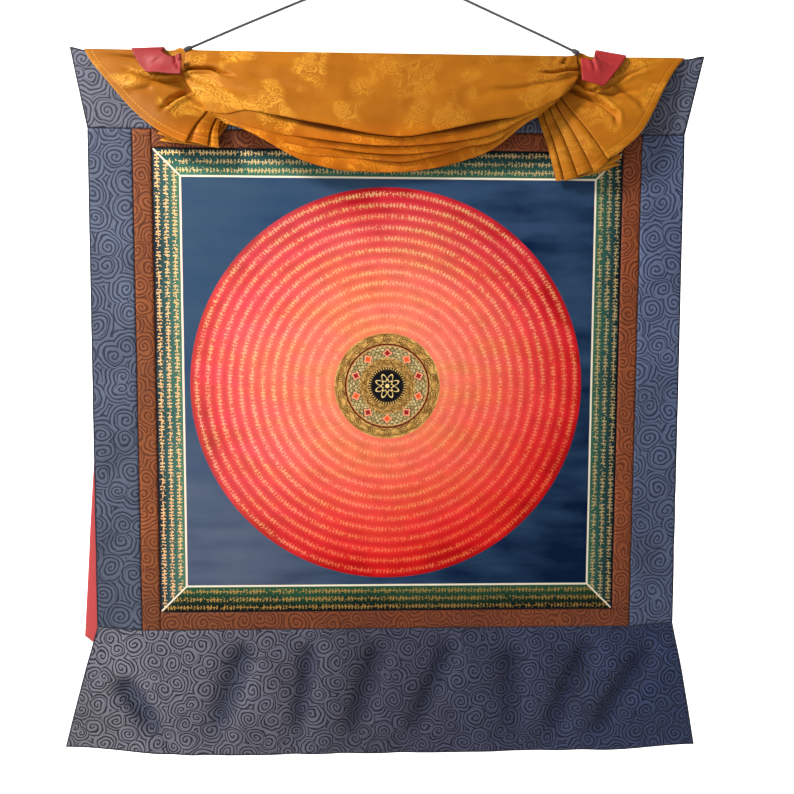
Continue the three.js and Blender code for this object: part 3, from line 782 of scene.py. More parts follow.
@dataclass(frozen=True)
class GoldSilk:
    """Ochre silk damask with blossoms and curls in brighter satin, with painted light in its colour: shade
    under the pleats' edges, glints on the satin and a change of brightness from left to right.
    """

    base: Colour = tone(182, 108, 18)
    bright: Colour = tone(246, 174, 58)
    shade: Colour = tone(150, 82, 10)
    painted_crevice_shade: Colour = tone(82, 32, 6)
    cell: float = 34.0

    def build(self) -> bpy.types.Material:
        """Make the silk's material."""
        g = Graph("gold_damask")
        u, v, hem = g.cut()
        x, _, z = g.place()
        # How much each place lies in painted shade, in the hollows under the pleats' edges.
        dark = g.node("ShaderNodeAttribute", {"attribute_name": SHADE}, None, "Fac")
        warp_u = u + (g.cloudy(u, v, 13.0, 2.0) - 0.5) * 9.0
        warp_v = v + (g.cloudy(v + 50.0, u, 13.0, 2.0) - 0.5) * 9.0
        motif = self.blossoms(g, warp_u, warp_v).most(self.curls(g, warp_u, warp_v))
        patch = g.cloudy(u + 20.0, v, 46.0, 2.0).rise(0.46, 0.62)
        broken = g.cloudy(u, v, 2.6, 2.0).rise(0.3, 0.55)
        soft = g.cloudy(u, v, 55.0, 3.0)
        slub = g.cloudy(u, v * 14.0, 9.0, 2.0)
        # Painted glints: the satin's motifs, its bright patches and the stitches show more brightly to the
        # left, where the light falls.
        lit = x.rise(20.0, -190.0) * 0.65 + x.rise(150.0, 230.0) * 0.15 + 0.35
        shown = motif * patch * (broken * 0.5 + 0.5) * lit
        ground = g.blend(soft.rise(0.25, 0.75) * 0.6 + 0.4, self.shade, self.base)
        ground = g.blend(patch * lit * 0.12, ground, self.bright)
        colour = g.blend(shown * 0.75, ground, self.bright)
        # Painted light: brightest just right of the left gather, darker across the swag to the right, and
        # lighter again on the right ear.
        level = 0.89 + x.rise(-240.0, -175.0) * 0.11 - x.rise(-175.0, 110.0) * 0.17
        level = level + x.rise(180.0, 230.0) * 0.13
        colour = g.scaled(colour, (slub * 0.24 + 0.88) * level)
        # Painted light: the lower pleats on the left of the swag brighter and more orange, as light thrown
        # back between the folds.
        painted_warm_light = x.rise(130.0, 50.0) * z.rise(-160.0, -188.0)
        colour = g.tinted(colour, g.blend(painted_warm_light, WHITE, (1.36, 1.1, 0.74, 1.0)))
        stitch = abs(hem - 7.0).rise(0.9, 0.3)
        dash = (u * 0.22 + v * 0.22).fract().over(0.3)
        colour = g.blend(stitch * (dash * 0.25 + 0.1) * lit, colour, self.bright)
        colour = g.blend(abs(hem - 8.4).rise(1.1, 0.4) * 0.4, colour, self.shade)
        colour = g.blend(hem.rise(1.6, 0.6) * 0.25, colour, self.bright)
        # Painted shade under the pleats' edges.
        colour = g.blend(dark * 0.88, colour, self.painted_crevice_shade)
        roughness = 0.5 - shown * 0.14 + soft * 0.08
        height = shown * 0.45 + slub * 0.3 - stitch * 0.4
        return g.surface({
            "Base Color": colour,
            "Roughness": roughness,
            "Normal": g.bump(height, 0.3),
            "Specular IOR Level": 0.24,
            "Specular Tint": (1.0, 0.78, 0.45, 1.0),
        })

    def blossoms(self, g: Graph, u: Value, v: Value) -> Value:
        """Open blossoms with ragged petals, one in each irregular cell."""
        dx, dy = g.from_centre(u / self.cell, v / self.cell, 0.8)
        dx, dy = dx * self.cell, dy * self.cell
        far = dx.reach(dy)
        turn = dy.angle(dx)
        lobes = abs((turn * 3.0).cos()) * 3.6 + 6.0
        outline = abs(far - lobes).rise(1.2, 0.4)
        ring = abs(far - lobes * 0.55).rise(1.0, 0.3)
        petals = (lobes - far).rise(-0.3, 0.5) * 0.45
        arms = (turn * 3.0 + far * 0.5).sin().rise(0.35, 0.75) * far.rise(10.5, 11.5) * far.rise(19.0, 15.0)
        return outline.most(ring).most(petals).most(arms)

    def curls(self, g: Graph, u: Value, v: Value) -> Value:
        """Tight coils and trailing lines between the blossoms."""
        size = self.cell * 0.42
        dx, dy = g.from_centre(u / size + 5.0, v / size, 0.9)
        far = dx.reach(dy)
        coil = (far * 4.2 - dy.angle(dx) / FULL_TURN).fract()
        return abs(coil - 0.5).rise(0.3, 0.16) * far.rise(0.62, 0.5) * 0.9


@dataclass(frozen=True)
class RedSilk:
    """Plain red ribbon with fine ribs across it."""

    base: Colour = tone(182, 54, 54)
    dark: Colour = tone(150, 34, 38)

    def build(self) -> bpy.types.Material:
        """Make the ribbon's material."""
        g = Graph("red_ribbon")
        u, v, hem = g.cut()
        x, _, _ = g.place()
        tail = v.rise(60.0, 140.0)
        ribs = (v * (FULL_TURN / 1.2)).sin() * 0.5 + 0.5
        soft = g.cloudy(u, v, 24.0, 3.0)
        fine = g.cloudy(u, v, 0.8, 1.0)
        colour = g.blend(soft * 0.55 + fine * 0.2, self.base, self.dark)
        colour = g.blend(hem.rise(1.6, 0.9) * 0.5, colour, self.dark)
        # Lighter and more pink down the tails; on the front, painted shade makes the left ribbon darker.
        colour = g.blend(tail * 0.3, colour, tone(204, 96, 94))
        colour = g.scaled(colour, 1.0 + tail * 0.12 - (1.0 - tail) * x.rise(0.0, -150.0) * 0.26)
        return g.surface({
            "Base Color": colour,
            "Roughness": 0.46 + soft * 0.12,
            "Normal": g.bump(ribs * 0.4 + fine * 0.4, 0.12),
            "Specular IOR Level": 0.35,
            "Specular Tint": (1.0, 0.7, 0.66, 1.0),
        })


@dataclass(frozen=True)
class TwistedCord:
    """Dark grey cord of three strands."""

    base: Colour = tone(70, 68, 72)
    dark: Colour = tone(34, 32, 36)

    def build(self) -> bpy.types.Material:
        """Make the cord's material."""
        g = Graph("twisted_cord")
        around, along, strand = g.cut()
        fibres = g.cloudy(around * 400.0, along * 1.4, 1.0, 2.0)
        # Painted shade: darker where the tube is thin, in the grooves between the strands, which also darkens
        # the thinner stitch and the knots' ends.
        colour = g.blend((strand * 0.001).rise(0.2, 0.9), self.dark, self.base)
        colour = g.scaled(colour, fibres * 0.5 + 0.75)
        return g.surface({
            "Base Color": colour,
            "Roughness": 0.8 + fibres * 0.1,
            "Normal": g.bump(fibres, 0.15),
            "Sheen Weight": 0.2,
        })


def mesh_piece(
    name: str,
    points: np.ndarray,
    faces: Sequence[Sequence[int]],
    material: bpy.types.Material,
    kept: np.ndarray,
) -> bpy.types.Object:
    """Make a smooth mesh object with its cloth coordinates.

    Args:
        name: The piece's name.
        points: Its points in millimetres.
        faces: Its faces as lists of point numbers.
        material: Its finish.
        kept: Three numbers for each point, in millimetres, for the finish to read.

    Returns:
        The object, linked to the scene.
    """
    mesh = bpy.data.meshes.new(name)
    mesh.from_pydata((points * MM).tolist(), [], faces)
    attribute = mesh.attributes.new(CUT, "FLOAT_VECTOR", "POINT")
    attribute.data.foreach_set("vector", (kept * MM).astype(np.float32).ravel())
    mesh.shade_smooth()
    mesh.materials.append(material)
    mesh.validate()
    piece = bpy.data.objects.new(name, mesh)
    bpy.context.scene.collection.objects.link(piece)
    return piece


def closed_sheet(
    name: str, front: np.ndarray, back: np.ndarray, kept: np.ndarray, material: bpy.types.Material
) -> bpy.types.Object:
    """Make one closed sheet between a front and a back grid of points.

    Args:
        name: The piece's name.
        front: Points of the face, rows by columns by 3, in millimetres.
        back: Points of the back, in the same order.
        kept: Cloth coordinates, rows by columns by 3, in millimetres.
        material: Its finish.

    Returns:
        The piece.
    """
    rows, columns = front.shape[:2]
    number = np.arange(rows * columns).reshape(rows, columns)
    other = number + rows * columns

    def quads(*corners: np.ndarray) -> list[list[int]]:
        """Join four grids of corners into faces."""
        return np.stack(corners, -1).reshape(-1, 4).tolist()

    faces = quads(number[:-1, :-1], number[:-1, 1:], number[1:, 1:], number[1:, :-1])
    faces += quads(other[:-1, :-1], other[1:, :-1], other[1:, 1:], other[:-1, 1:])
    faces += quads(number[0, :-1], other[0, :-1], other[0, 1:], number[0, 1:])
    faces += quads(number[-1, 1:], other[-1, 1:], other[-1, :-1], number[-1, :-1])
    faces += quads(number[1:, 0], other[1:, 0], other[:-1, 0], number[:-1, 0])
    faces += quads(number[:-1, -1], other[:-1, -1], other[1:, -1], number[1:, -1])
    points = np.concatenate([front.reshape(-1, 3), back.reshape(-1, 3)])
    if signed_volume(points, faces) < 0:
        faces = [face[::-1] for face in faces]
    doubled = np.concatenate([kept.reshape(-1, 3), kept.reshape(-1, 3)])
    return mesh_piece(name, points, faces, material, doubled)


def signed_volume(points: np.ndarray, faces: Sequence[Sequence[int]]) -> float:
    """Give the volume inside four-sided faces, below 0 where they point inwards."""
    quads = np.array(faces)
    p0, p1, p2, p3 = (points[quads[:, k]] for k in range(4))
    first = np.einsum("ij,ij->i", p0, np.cross(p1, p2))
    second = np.einsum("ij,ij->i", p0, np.cross(p2, p3))
    return float((first + second).sum() / 6.0)


def cloth_lengths(grid: np.ndarray) -> tuple[np.ndarray, np.ndarray]:
    """Give the length of cloth across and along a grid of points, in millimetres."""
    down = np.linalg.norm(np.diff(grid, axis=0), axis=2)
    side = np.linalg.norm(np.diff(grid, axis=1), axis=2)
    across = np.concatenate([np.zeros((1, grid.shape[1])), np.cumsum(down, axis=0)])
    along = np.concatenate([np.zeros((grid.shape[0], 1)), np.cumsum(side, axis=1)], axis=1)
    return across, along


def lengths_along(path: np.ndarray) -> np.ndarray:
    """Give the length so far at each point of a path."""
    return np.concatenate([[0.0], np.cumsum(np.linalg.norm(np.diff(path, axis=0), axis=1))])


@dataclass
class Stage:
    """Pale floor, backdrop, soft lights and the camera at the photograph's angle."""

    camera_place: tuple[float, float, float] = (-0.0226, -0.8860, -0.3820)
    camera_yaw: float = 2.017
    camera_pitch: float = -4.551
    camera_roll: float = 0.217
    lens: float = 37.18
    floor_z: float = -2.0
    wall_y: float = 2.4
    half_width: float = 6.0
    reach: float = 6.0
    bend: float = 0.6
    bend_steps: int = 12

    def camera(self) -> None:
        """Make the camera."""
        data = bpy.data.cameras.new("camera")
        data.lens = self.lens
        data.sensor_width = 36.0
        data.clip_start = 0.01
        data.clip_end = 50.0
        made = bpy.data.objects.new("camera", data)
        made.location = self.camera_place
        level = Euler((math.radians(90.0 + self.camera_pitch), 0.0, math.radians(-self.camera_yaw)), "XYZ")
        roll = Euler((0.0, 0.0, math.radians(self.camera_roll)), "XYZ")
        made.rotation_euler = (level.to_matrix() @ roll.to_matrix()).to_euler()
        bpy.context.scene.collection.objects.link(made)
        bpy.context.scene.camera = made

    def light(self, name: str, place: Point, size: float, power: float, target: Point) -> None:
        """Hang one soft square light that looks at a target."""
        data = bpy.data.lights.new(name, "AREA")
        data.size = size
        data.energy = power
        made = bpy.data.objects.new(name, data)
        made.location = place
        aim = Vector(target) - Vector(place)
        made.rotation_euler = aim.to_track_quat("-Z", "Y").to_euler()
        bpy.context.scene.collection.objects.link(made)

    def lights(self) -> None:
        """Light the cloth from the left and above, with a pale window whose glare the paint shows."""
        middle = (0.0, 0.0, -0.45)
        self.light("key", (-1.75, -1.1, 1.15), 0.45, 84.0, middle)
        self.light("window", (-1.6, -1.9, -0.55), 1.6, 22.0, middle)
        self.light("room", (1.9, -2.0, 0.3), 1.6, 4.0, middle)
        for side in (-1.0, 1.0):
            self.light("wall_wash", (2.3 * side, 0.9, -0.2), 1.4, 105.0, (0.5 * side, self.wall_y, -0.45))
        world = bpy.data.worlds.new("room_light")
        world.use_nodes = True
        background = world.node_tree.nodes["Background"]
        background.inputs["Color"].default_value = WHITE
        background.inputs["Strength"].default_value = 0.22
        bpy.context.scene.world = world
        bpy.context.scene.view_settings.view_transform = "Standard"

    def backdrop(self) -> None:
        """Lay a floor far below that sweeps up into a plain wall behind."""
        profile = [(-self.reach, self.floor_z), (self.wall_y - self.bend, self.floor_z)]
        for step in range(1, self.bend_steps):
            turn = math.radians(90.0 * step / self.bend_steps)
            y = self.wall_y - self.bend + self.bend * math.sin(turn)
            profile.append((y, self.floor_z + self.bend - self.bend * math.cos(turn)))
        profile.append((self.wall_y, self.floor_z + self.bend))
        profile.append((self.wall_y, self.floor_z + 2.0 * self.reach))
        points = [(side * self.half_width, y, z) for y, z in profile for side in (-1.0, 1.0)]
        faces = [(2 * k, 2 * k + 1, 2 * k + 3, 2 * k + 2) for k in range(len(profile) - 1)]
        mesh = bpy.data.meshes.new("backdrop")
        mesh.from_pydata(points, [], faces)
        mesh.shade_smooth()
        g = Graph("pale_wall")
        shade = g.cloudy(*g.place()[:2], 900.0)
        mesh.materials.append(g.surface({
            "Base Color": g.blend(shade, (0.86, 0.86, 0.85, 1.0), (0.92, 0.92, 0.91, 1.0)),
            "Roughness": 0.95,
        }))
        made = bpy.data.objects.new("backdrop", mesh)
        bpy.context.scene.collection.objects.link(made)


@dataclass
class Mounting:
    """The painting, its brown frame and the blue panels, all on one softly waving surface."""

    cloth: float = 1.0
    gap: float = 0.02
    groove: float = 0.5
    strip: float = 20.0
    panel_edge: float = 316.0
    top_seam: float = -171.0
    bottom_seam: float = -710.0
    seam_rise: float = 4.0
    hem: float = -853.0
    side_drift: float = 3.0
    top_flare: tuple[float, float, float] = (16.0, 18.5, 3.0)
    hem_flare: tuple[float, float] = (37.0, 28.0)
    hem_lift: tuple[float, float] = (12.5, 6.0)
    skirt_bow: float = 4.5
    wave: float = 0.5
    wave_run: tuple[float, float] = (95.0, 120.0)
    trough_gain: float = 1.8
    pucker_reach: float = 26.0
    troughs: Sequence[Line] = (
        Line(-301, -756, -258, -820, 5.5, 13),
        Line(-150, -712, -189, -820, 4.5, 15),
        Line(-82, -712, -100, -822, 4.0, 13),
        Line(-4, -712, -38, -822, 4.5, 15),
        Line(78, -712, 29, -822, 4.0, 14),
        Line(138, -712, 140, -824, 3.5, 18),
        Line(234, -712, 184, -824, 4.5, 16),
        Line(304, -720, 237, -824, 4.5, 15),
    )
    # Small ripples of all the cloth: depth, width, height and layer of the noise
    ripples: Sequence[tuple[float, float, float, float]] = ((0.35, 38.0, 46.0, 0.0), (0.16, 13.0, 17.0, 4.0))
    # Puckers across the side panels: middle x, middle z, tilt, depth, half width
    puckers: Sequence[tuple[float, float, float, float, float]] = (
        (292, -570, 2, 2.4, 10),
        (292, -626, 5, 2.6, 11),
        (292, -530, -3, 1.3, 8),
        (-292, -424, 22, 1.6, 14),
        (-294, -532, 24, 1.8, 14),
        (-292, -604, 20, 1.8, 13),
    )
    # Faint creases across the painting, from its being rolled: height, depth, half width
    roll_creases: Sequence[tuple[float, float, float]] = (
        (-399, 0.35, 3.5),
        (-422, 0.4, 4.0),
        (-440, 0.3, 3.0),
        (-475, 0.45, 4.0),
        (-521, 0.45, 4.5),
        (-546, 0.35, 3.5),
        (-612, 0.35, 4.0),
    )

    def relief(self, x: float, z: float) -> float:
        """Give how far the front stands back from the plane Y = 0 at a place, in millimetres."""
        below = clamp01((self.bottom_seam - z) / (self.bottom_seam - self.hem))
        y = -self.skirt_bow * smooth(below / 0.35) * (1 - 0.55 * smooth((below - 0.6) / 0.4))
        y += self.hollow(x, z)
        return y + self.wave * math.sin(x / self.wave_run[0]) * math.cos(z / self.wave_run[1])

    def hollow(self, x: float, z: float) -> float:
        """Give how deep the troughs and puckers are at a place, in millimetres."""
        deep = 0.0
        for trough in self.troughs:
            along, across = trough.along_across(x, z)
            fade = smooth(along / 0.3) * (1 - 0.75 * smooth((along - 0.75) / 0.5))
            deep += self.trough_gain * trough.depth * fade * bell(across / trough.width)
        for px, pz, tilt, depth, width in self.puckers:
            lean = tilt * (x - px) / self.pucker_reach
            deep += depth * bell((x - px) / self.pucker_reach) * bell((z - pz - lean) / width)
        return deep

    def fine_relief(self, x: float, z: float) -> float:
        """Give the small creases that only the finished cloth has."""
        y = 0.0
        for depth, wide, tall, layer in self.ripples:
            y += depth * noise.noise(Vector((x / wide, layer, z / tall)))
        inner = PAINTING_SIDE / 2
        if abs(x) < inner and abs(z - PAINTING_MIDDLE) < inner:
            for height, depth, width in self.roll_creases:
                sway = 1.6 * noise.noise(Vector((x / 70.0, height, 0.0)))
                y -= depth * bell((z - height - sway) / width) * smooth((inner - abs(x)) / 60.0)
        return y

    def sheet(
        self,
        name: str,
        spread: tuple[Sequence[float], Sequence[float]],
        place: Place,
        free: str,
        material: bpy.types.Material,
    ) -> bpy.types.Object:
        """Lay one flat-cut piece on the waving surface.

        Args:
            name: The piece's name.
            spread: The shares from left to right and from bottom to top where the grid has lines.
            place: Gives x and z from those two shares.
            free: Which of its edges are hems, by the letters l, r, b and t.
            material: Its finish.

        Returns:
            The piece.
        """
        across, up = spread
        front = np.zeros((len(up), len(across), 3))
        for i, t in enumerate(up):
            for j, s in enumerate(across):
                x, z = place(s, t)
                front[i, j] = (x, self.relief(x, z) + self.fine_relief(x, z), z)
        kept = np.zeros_like(front)
        kept[..., 0] = self.edge_distance(front, "".join(set("lrbt") - set(free)))
        # The depth of the troughs, which the brocade paints as shade.
        kept[..., 1] = np.vectorize(self.hollow)(front[..., 0], front[..., 2])
        kept[..., 2] = self.edge_distance(front, free)
        front[..., 1] += self.groove * np.clip(1.0 - kept[..., 0] / 2.0, 0.0, 1.0)
        back = front + np.array([0.0, self.cloth, 0.0])
        return closed_sheet(name, front, back, kept, material)

    @staticmethod
    def edge_distance(grid: np.ndarray, letters: str) -> np.ndarray:
        """Give each point's distance from the nearest of the edges named, in millimetres."""
        far = np.full(grid.shape[:2], 500.0)
        flat = grid[..., [0, 2]]
        edges = {"l": flat[:, :1], "r": flat[:, -1:], "b": flat[:1], "t": flat[-1:]}
        for letter in letters:
            far = np.minimum(far, np.linalg.norm(flat - edges[letter], axis=2))
        return far

    @staticmethod
    def spread(count: int, length: float, rim: float = 2.5) -> list[float]:
        """Give even shares along a length, with an extra line close to each end."""
        shares = [k / count for k in range(count + 1)]
        near = rim / length
        return sorted({*shares, near, 1 - near})

    def rectangle(self, x0: float, x1: float, z0: float, z1: float) -> Place:
        """Give the place function of a rectangle, less half the seam gap all round."""
        half = self.gap / 2
        return lambda s, t: (mix(x0 + half, x1 - half, s), mix(z0 + half, z1 - half, t))

    def seam_height(self, x: float) -> float:
        """Give the height of the seam with the bottom panel, which rises towards the sides."""
        outer = PAINTING_SIDE / 2 + self.strip
        return self.bottom_seam + self.seam_rise * clamp01((abs(x) - outer) / (self.panel_edge - outer))

    def side_place(self, sign: int) -> Place:
        """Give the place function of a side panel, -1 for the left one and 1 for the right one."""
        inner = PAINTING_SIDE / 2 + self.strip + self.gap / 2

        def place(s: float, t: float) -> tuple[float, float]:
            """Place on the side panel."""
            outer = self.panel_edge + self.side_drift * (1 - t)
            x = sign * mix(inner, outer, 1 - s if sign < 0 else s)
            low = self.seam_height(x) + self.gap / 2
            return x, mix(low, self.top_seam - self.gap / 2, t)

        return place

    def top_place(self, s: float, t: float) -> tuple[float, float]:
        """Place on the top panel."""
        left, right, lift = self.top_flare
        x = mix(-self.panel_edge - left * t, self.panel_edge + right * t, s)
        corner = smooth((abs(x) - self.panel_edge) / left)
        return x, mix(self.top_seam + self.gap / 2, TOP_EDGE + lift * corner, t)

    def bottom_place(self, s: float, t: float) -> tuple[float, float]:
        """Place on the bottom panel."""
        down = 1 - t
        left = -self.panel_edge - self.side_drift - self.hem_flare[0] * down
        right = self.panel_edge + self.side_drift + self.hem_flare[1] * down
        x = mix(left, right, s)
        lift = self.hem_lift[0] * smooth(1 - s / 0.2) + self.hem_lift[1] * smooth((s - 0.85) / 0.15)
        return x, mix(self.hem + lift, self.seam_height(x) - self.gap / 2, t)

    def build(self) -> None:
        """Make all nine pieces."""
        inner = PAINTING_SIDE / 2
        outer = inner + self.strip
        low, high = PAINTING_MIDDLE - inner, PAINTING_MIDDLE + inner
        top = high + self.strip - 1
        navy = tone(24, 26, 40)
        rust = tone(84, 34, 16)
        blue = Brocade(
            "blue_brocade", light=tone(92, 101, 124), line=tone(44, 49, 70), edge=navy,
            spacing=27.0, pitch=4.6, shift=3.3, tilt=0.2,
            painted_light_tints=((1.0, 0.98, 0.93, 1.0), WHITE, (0.9, 0.94, 1.04, 1.0)),
        ).build()
        upper = Brocade(
            "blue_brocade_top", light=tone(94, 98, 114), line=tone(44, 46, 60), edge=navy,
            spacing=26.0, pitch=4.4, shift=9.1, tilt=-0.3,
            painted_light_tints=((1.34, 1.25, 1.16, 1.0), (1.04, 1.04, 1.04, 1.0), (0.95, 0.95, 0.95, 1.0)),
        ).build()
        skirt = Brocade(
            "blue_brocade_skirt", light=tone(121, 122, 137), line=tone(28, 31, 46), edge=navy,
            spacing=21.5, pitch=4.0, shift=5.7, tilt=0.5,
            painted_light_tints=((1.26, 1.19, 1.09, 1.0), (0.38, 0.38, 0.49, 1.0), (0.19, 0.28, 0.54, 1.0)),
        ).build()
        brown = Brocade(
            "brown_brocade", light=tone(132, 64, 32), line=tone(86, 34, 14), edge=rust,
            spacing=23.0, pitch=4.2, shift=7.7, tilt=0.9,
            painted_light_tints=((1.14, 1.42, 1.2, 1.0), (1.0, 0.98, 0.72, 1.0), (1.05, 1.16, 1.14, 1.0)),
            low=(-700.0, -590.0, 0.3),
        ).build()
        paint = Painting().build()
        slim, narrow, broad = self.spread(4, 20.0), self.spread(6, 48.0), self.spread(96, 500.0)
        tall, upper_spread = self.spread(120, 540.0), (self.spread(150, 660.0), self.spread(20, 80.0))
        skirt_spread = (self.spread(180, 700.0), self.spread(40, 146.0))
        left_strip = self.rectangle(-outer, -inner, self.bottom_seam, top)
        right_strip = self.rectangle(inner, outer, low, top)
        top_strip = self.rectangle(-inner, inner, high, top)
        bottom_strip = self.rectangle(-inner, outer, self.bottom_seam, low)
        # Node, slot, grid, place, hems and finish
        rows = [
            ("painting", Slot.PAINTING, (broad, broad), self.rectangle(-inner, inner, low, high), "", paint),
            ("frame_left", Slot.BROWN, (slim, tall), left_strip, "", brown),
            ("frame_right", Slot.BROWN, (slim, tall), right_strip, "", brown),
            ("frame_top", Slot.BROWN, (tall, slim), top_strip, "", brown),
            ("frame_bottom", Slot.BROWN, (tall, slim), bottom_strip, "", brown),
            ("panel_left", Slot.BLUE, (narrow, tall), self.side_place(-1), "l", blue),
            ("panel_right", Slot.BLUE, (narrow, tall), self.side_place(1), "r", blue),
            ("panel_top", Slot.BLUE, upper_spread, self.top_place, "lrt", upper),
            ("panel_bottom", Slot.BLUE, skirt_spread, self.bottom_place, "lrb", skirt),
        ]
        for node, slot, spread, place, free, material in rows:
            piece = self.sheet(f"{node}_cloth", spread, place, free, material)
            dress(piece, node)


def dress(piece: bpy.types.Object, node: str) -> None:
    """Make a piece ride on the body and stand for its node."""
    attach(piece, "root")
    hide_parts(node)


@dataclass(frozen=True)
class Ear:
    """One pleated end of the veil, from the gather to its hem, as x and z in millimetres."""

    gather: Sequence[Point]
    hem: Sequence[Point]
    gather_turns: Sequence[Point]
    hem_turns: Sequence[Point]
    side: Sequence[Point]
    shoulder: Sequence[Point]


LEFT_EAR = Ear(
    gather=[(-191, -151), (-184, -158), (-180, -161), (-176, -164), (-172, -166)],
    hem=[(-211, -190), (-189, -192), (-178, -193), (-181, -191), (-185, -189)],
    gather_turns=[(-191, -145), (-185, -151), (-181, -155), (-177, -158), (-173, -160)],
    hem_turns=[(-238, -181), (-237, -187), (-235, -186), (-233, -185), (-222, -184)],
    side=[(-316, -95), (-309, -104.5), (-297, -119), (-285, -133), (-272, -148), (-258, -162),
          (-243, -174), (-227, -183)],
    shoulder=[(-212, -92), (-213, -98), (-214, -105), (-214, -112), (-213, -119), (-210, -127),
              (-205, -135), (-199, -143)],
)
RIGHT_EAR = Ear(
    gather=[(181, -134), (176, -139), (171, -144), (165, -149), (159, -152)],
    hem=[(228, -201), (215, -214), (199, -217), (186, -222), (178, -222)],
    gather_turns=[(181, -128), (177, -133), (172, -138), (166, -143), (160, -146)],
    hem_turns=[(243, -192), (243, -199), (241, -206), (233, -210), (205, -211)],
    side=[(312, -94.5), (303.5, -102), (296, -113), (287.5, -128), (278.5, -146), (269, -163),
          (258, -178), (244, -190)],
    shoulder=[(198, -92), (198.5, -97), (199, -103), (199, -109), (198, -115), (195, -120),
              (191, -125), (187, -129.5)],
)


@dataclass
class Veil:
    """The gold silk veil: one cloth folded back and forth, gathered at two places."""

    silk: float = 0.6
    pitch: float = 2.0
    front_depth: float = 22.5
    tuck: float = 24.0
    clearance: float = 1.8
    swag_stations: int = 120
    ear_stations: int = 44
    flap_lines: int = 60
    flush_pitch: float = 0.9
    fold_lines: int = 4
    lip_shades: Sequence[float] = (0.0, 0.0, 0.3, 0.8, 0.8)
    turn_shade: float = 0.15
    # Rows up behind a lip: share of the way to the turn, and shade
    rising_rows: Sequence[tuple[float, float]] = ((0.22, 0.6), (0.45, 0.2), (0.67, 0.1))
    hidden_shares: Sequence[float] = (0.3, 0.6, 0.88)
    shown_shares: Sequence[float] = (0.02, 0.1, 0.2, 0.32, 0.46, 0.62, 0.8)
    pleat_x: Sequence[float] = (-160, -139, -113, -90, -57, -20, 15, 50, 80, 108, 135)
    # The lower edge of each pleat at the stations above, how far it stands forward, and where it starts
    pleats: Sequence[tuple[Sequence[float], float, float]] = (
        ((-155, -158, -162, -166.5, -172, -179, -181.5, -175.5, -168.7, -163.2, -158.3), 30.0, -148),
        ((-168, -175, -180.5, -182, -186, -189.5, -189.7, -187, -182.5, -176.5, -163), 24.5, -108),
        ((-170.5, -178, -187, -191, -192.8, -196.7, -197.4, -193.5, -188, -183, -166), 19.5, -76),
        ((-171, -180, -192, -199, -201, -202.3, -204, -197, -188.2, -183.4, -167.5), 14.5, -40),
        ((-171.5, -181, -195, -205.7, -213.2, -214.6, -213.6, -208.4, -200.3, -190, -169.4), 9.5, 0),
    )
    steps: Sequence[float] = (0, 0.07, 0.17, 0.28, 0.4, 0.55, 0.7, 0.86)
    gather_depths: Sequence[float] = (3.2, 5.5, 8, 10.5, 13.5, 17.5, 21, 22.5)
    hem_depths: Sequence[float] = (3.2, 5, 7.5, 10.5, 14, 18, 21.5, 22.5)
    top_bumps: Sequence[tuple[float, float, float]] = ((-218, 3.0, 4.5), (-208, 1.5, 5), (201, 4.0, 6.5))
    # Each crease's points, depth, half width, ridge and how soon it starts
    ear_creases: Sequence[Crease] = (
        Crease(
            [(-204, -134), (-215, -138.4), (-224, -144), (-231, -151.6), (-237, -160)],
            9.0, 2.6, -3.2, 0.3,
        ),
        Crease([(-216, -121.5), (-231, -124), (-246, -123.5), (-261, -119), (-280, -111)], 5.0, 2.0, 2.0),
        Crease([(-226, -107), (-262, -101), (-300, -98)], 2.4, 2.2, 1.4),
        Crease([(-246, -132), (-264, -136), (-276, -134)], 2.0, 3.0, 1.2),
        Crease([(186, -125), (205, -134), (222, -143), (235, -155), (237, -174)], 8.5, 2.6, -3.2),
        Crease([(208, -131), (228, -124), (253, -110.5), (286, -98)], 3.6, 1.9, 2.2),
        Crease([(198, -127), (228, -132), (262, -128), (280, -124)], 3.4, 2.4, 2.0),
        Crease([(234, -120), (262, -140), (270, -156)], 2.4, 3.2, 1.6),
    )
    swag_creases: Sequence[Crease] = (
        Crease(
            [(-214, -114.5), (-199, -112.5), (-184, -112.8), (-174, -117.6), (-156, -124)],
            8.5, 2.0, 3.0, 0.02,
        ),
        Crease([(-213, -118), (-196, -126), (-172, -134), (-140, -140)], 1.6, 3.2, 1.6),
        Crease([(-206, -100), (-160, -101), (-90, -104), (-20, -108)], 1.8, 4.0, 1.2),
        Crease([(200, -108), (186, -108.5), (172, -112), (150, -112)], 6.0, 1.9, -2.4, 0.02),
        Crease([(187, -91), (184, -99), (176, -104)], 5.0, 1.8, -1.6),
        Crease([(178, -90), (174, -98), (166, -103)], 2.6, 2.0, -1.2),
        Crease([(196, -116), (172, -124), (130, -132), (90, -134)], 3.0, 3.4, 1.8),
        Crease([(178, -96), (140, -101), (90, -104), (30, -106)], 1.6, 4.0, 1.0),
        Crease([(-150, -118), (-90, -140), (-30, -152), (40, -156)], 1.6, 7.0, 1.2),
        Crease([(150, -120), (90, -140), (30, -150)], 1.4, 7.0, 0.8),
    )
    # The swag's sections near a gather, in mm from it
    rim_places: Sequence[float] = (0, 0.5, 1.1, 1.8, 2.6, 3.5, 4.6, 5.9, 7.4, 9.2, 11.4, 14)
    # How far the swag's rim overhangs the ear and the ear tucks in, and the outward directions
    overhang: float = 3.0
    tuck_in: float = 3.5
    rim: float = 8.0
    ear_start: float = 0.42
    left_out: Point = (-0.88, -0.476)
    right_out: Point = (0.838, -0.545)
    # The pleats' edges lie close at the rim, then part and come forward: start and run, in mm
    rim_step: float = 0.45
    lip_gap: float = 0.8
    parting: tuple[float, float] = (8.0, 38.0)
    freeing: tuple[float, float] = (10.0, 90.0)
    fold_run: float = 36.0
    swag_bulge: float = 0.9
    ear_bulge: float = 1.8
    shadow: float = 1.3
    ear_shadow: float = 1.8
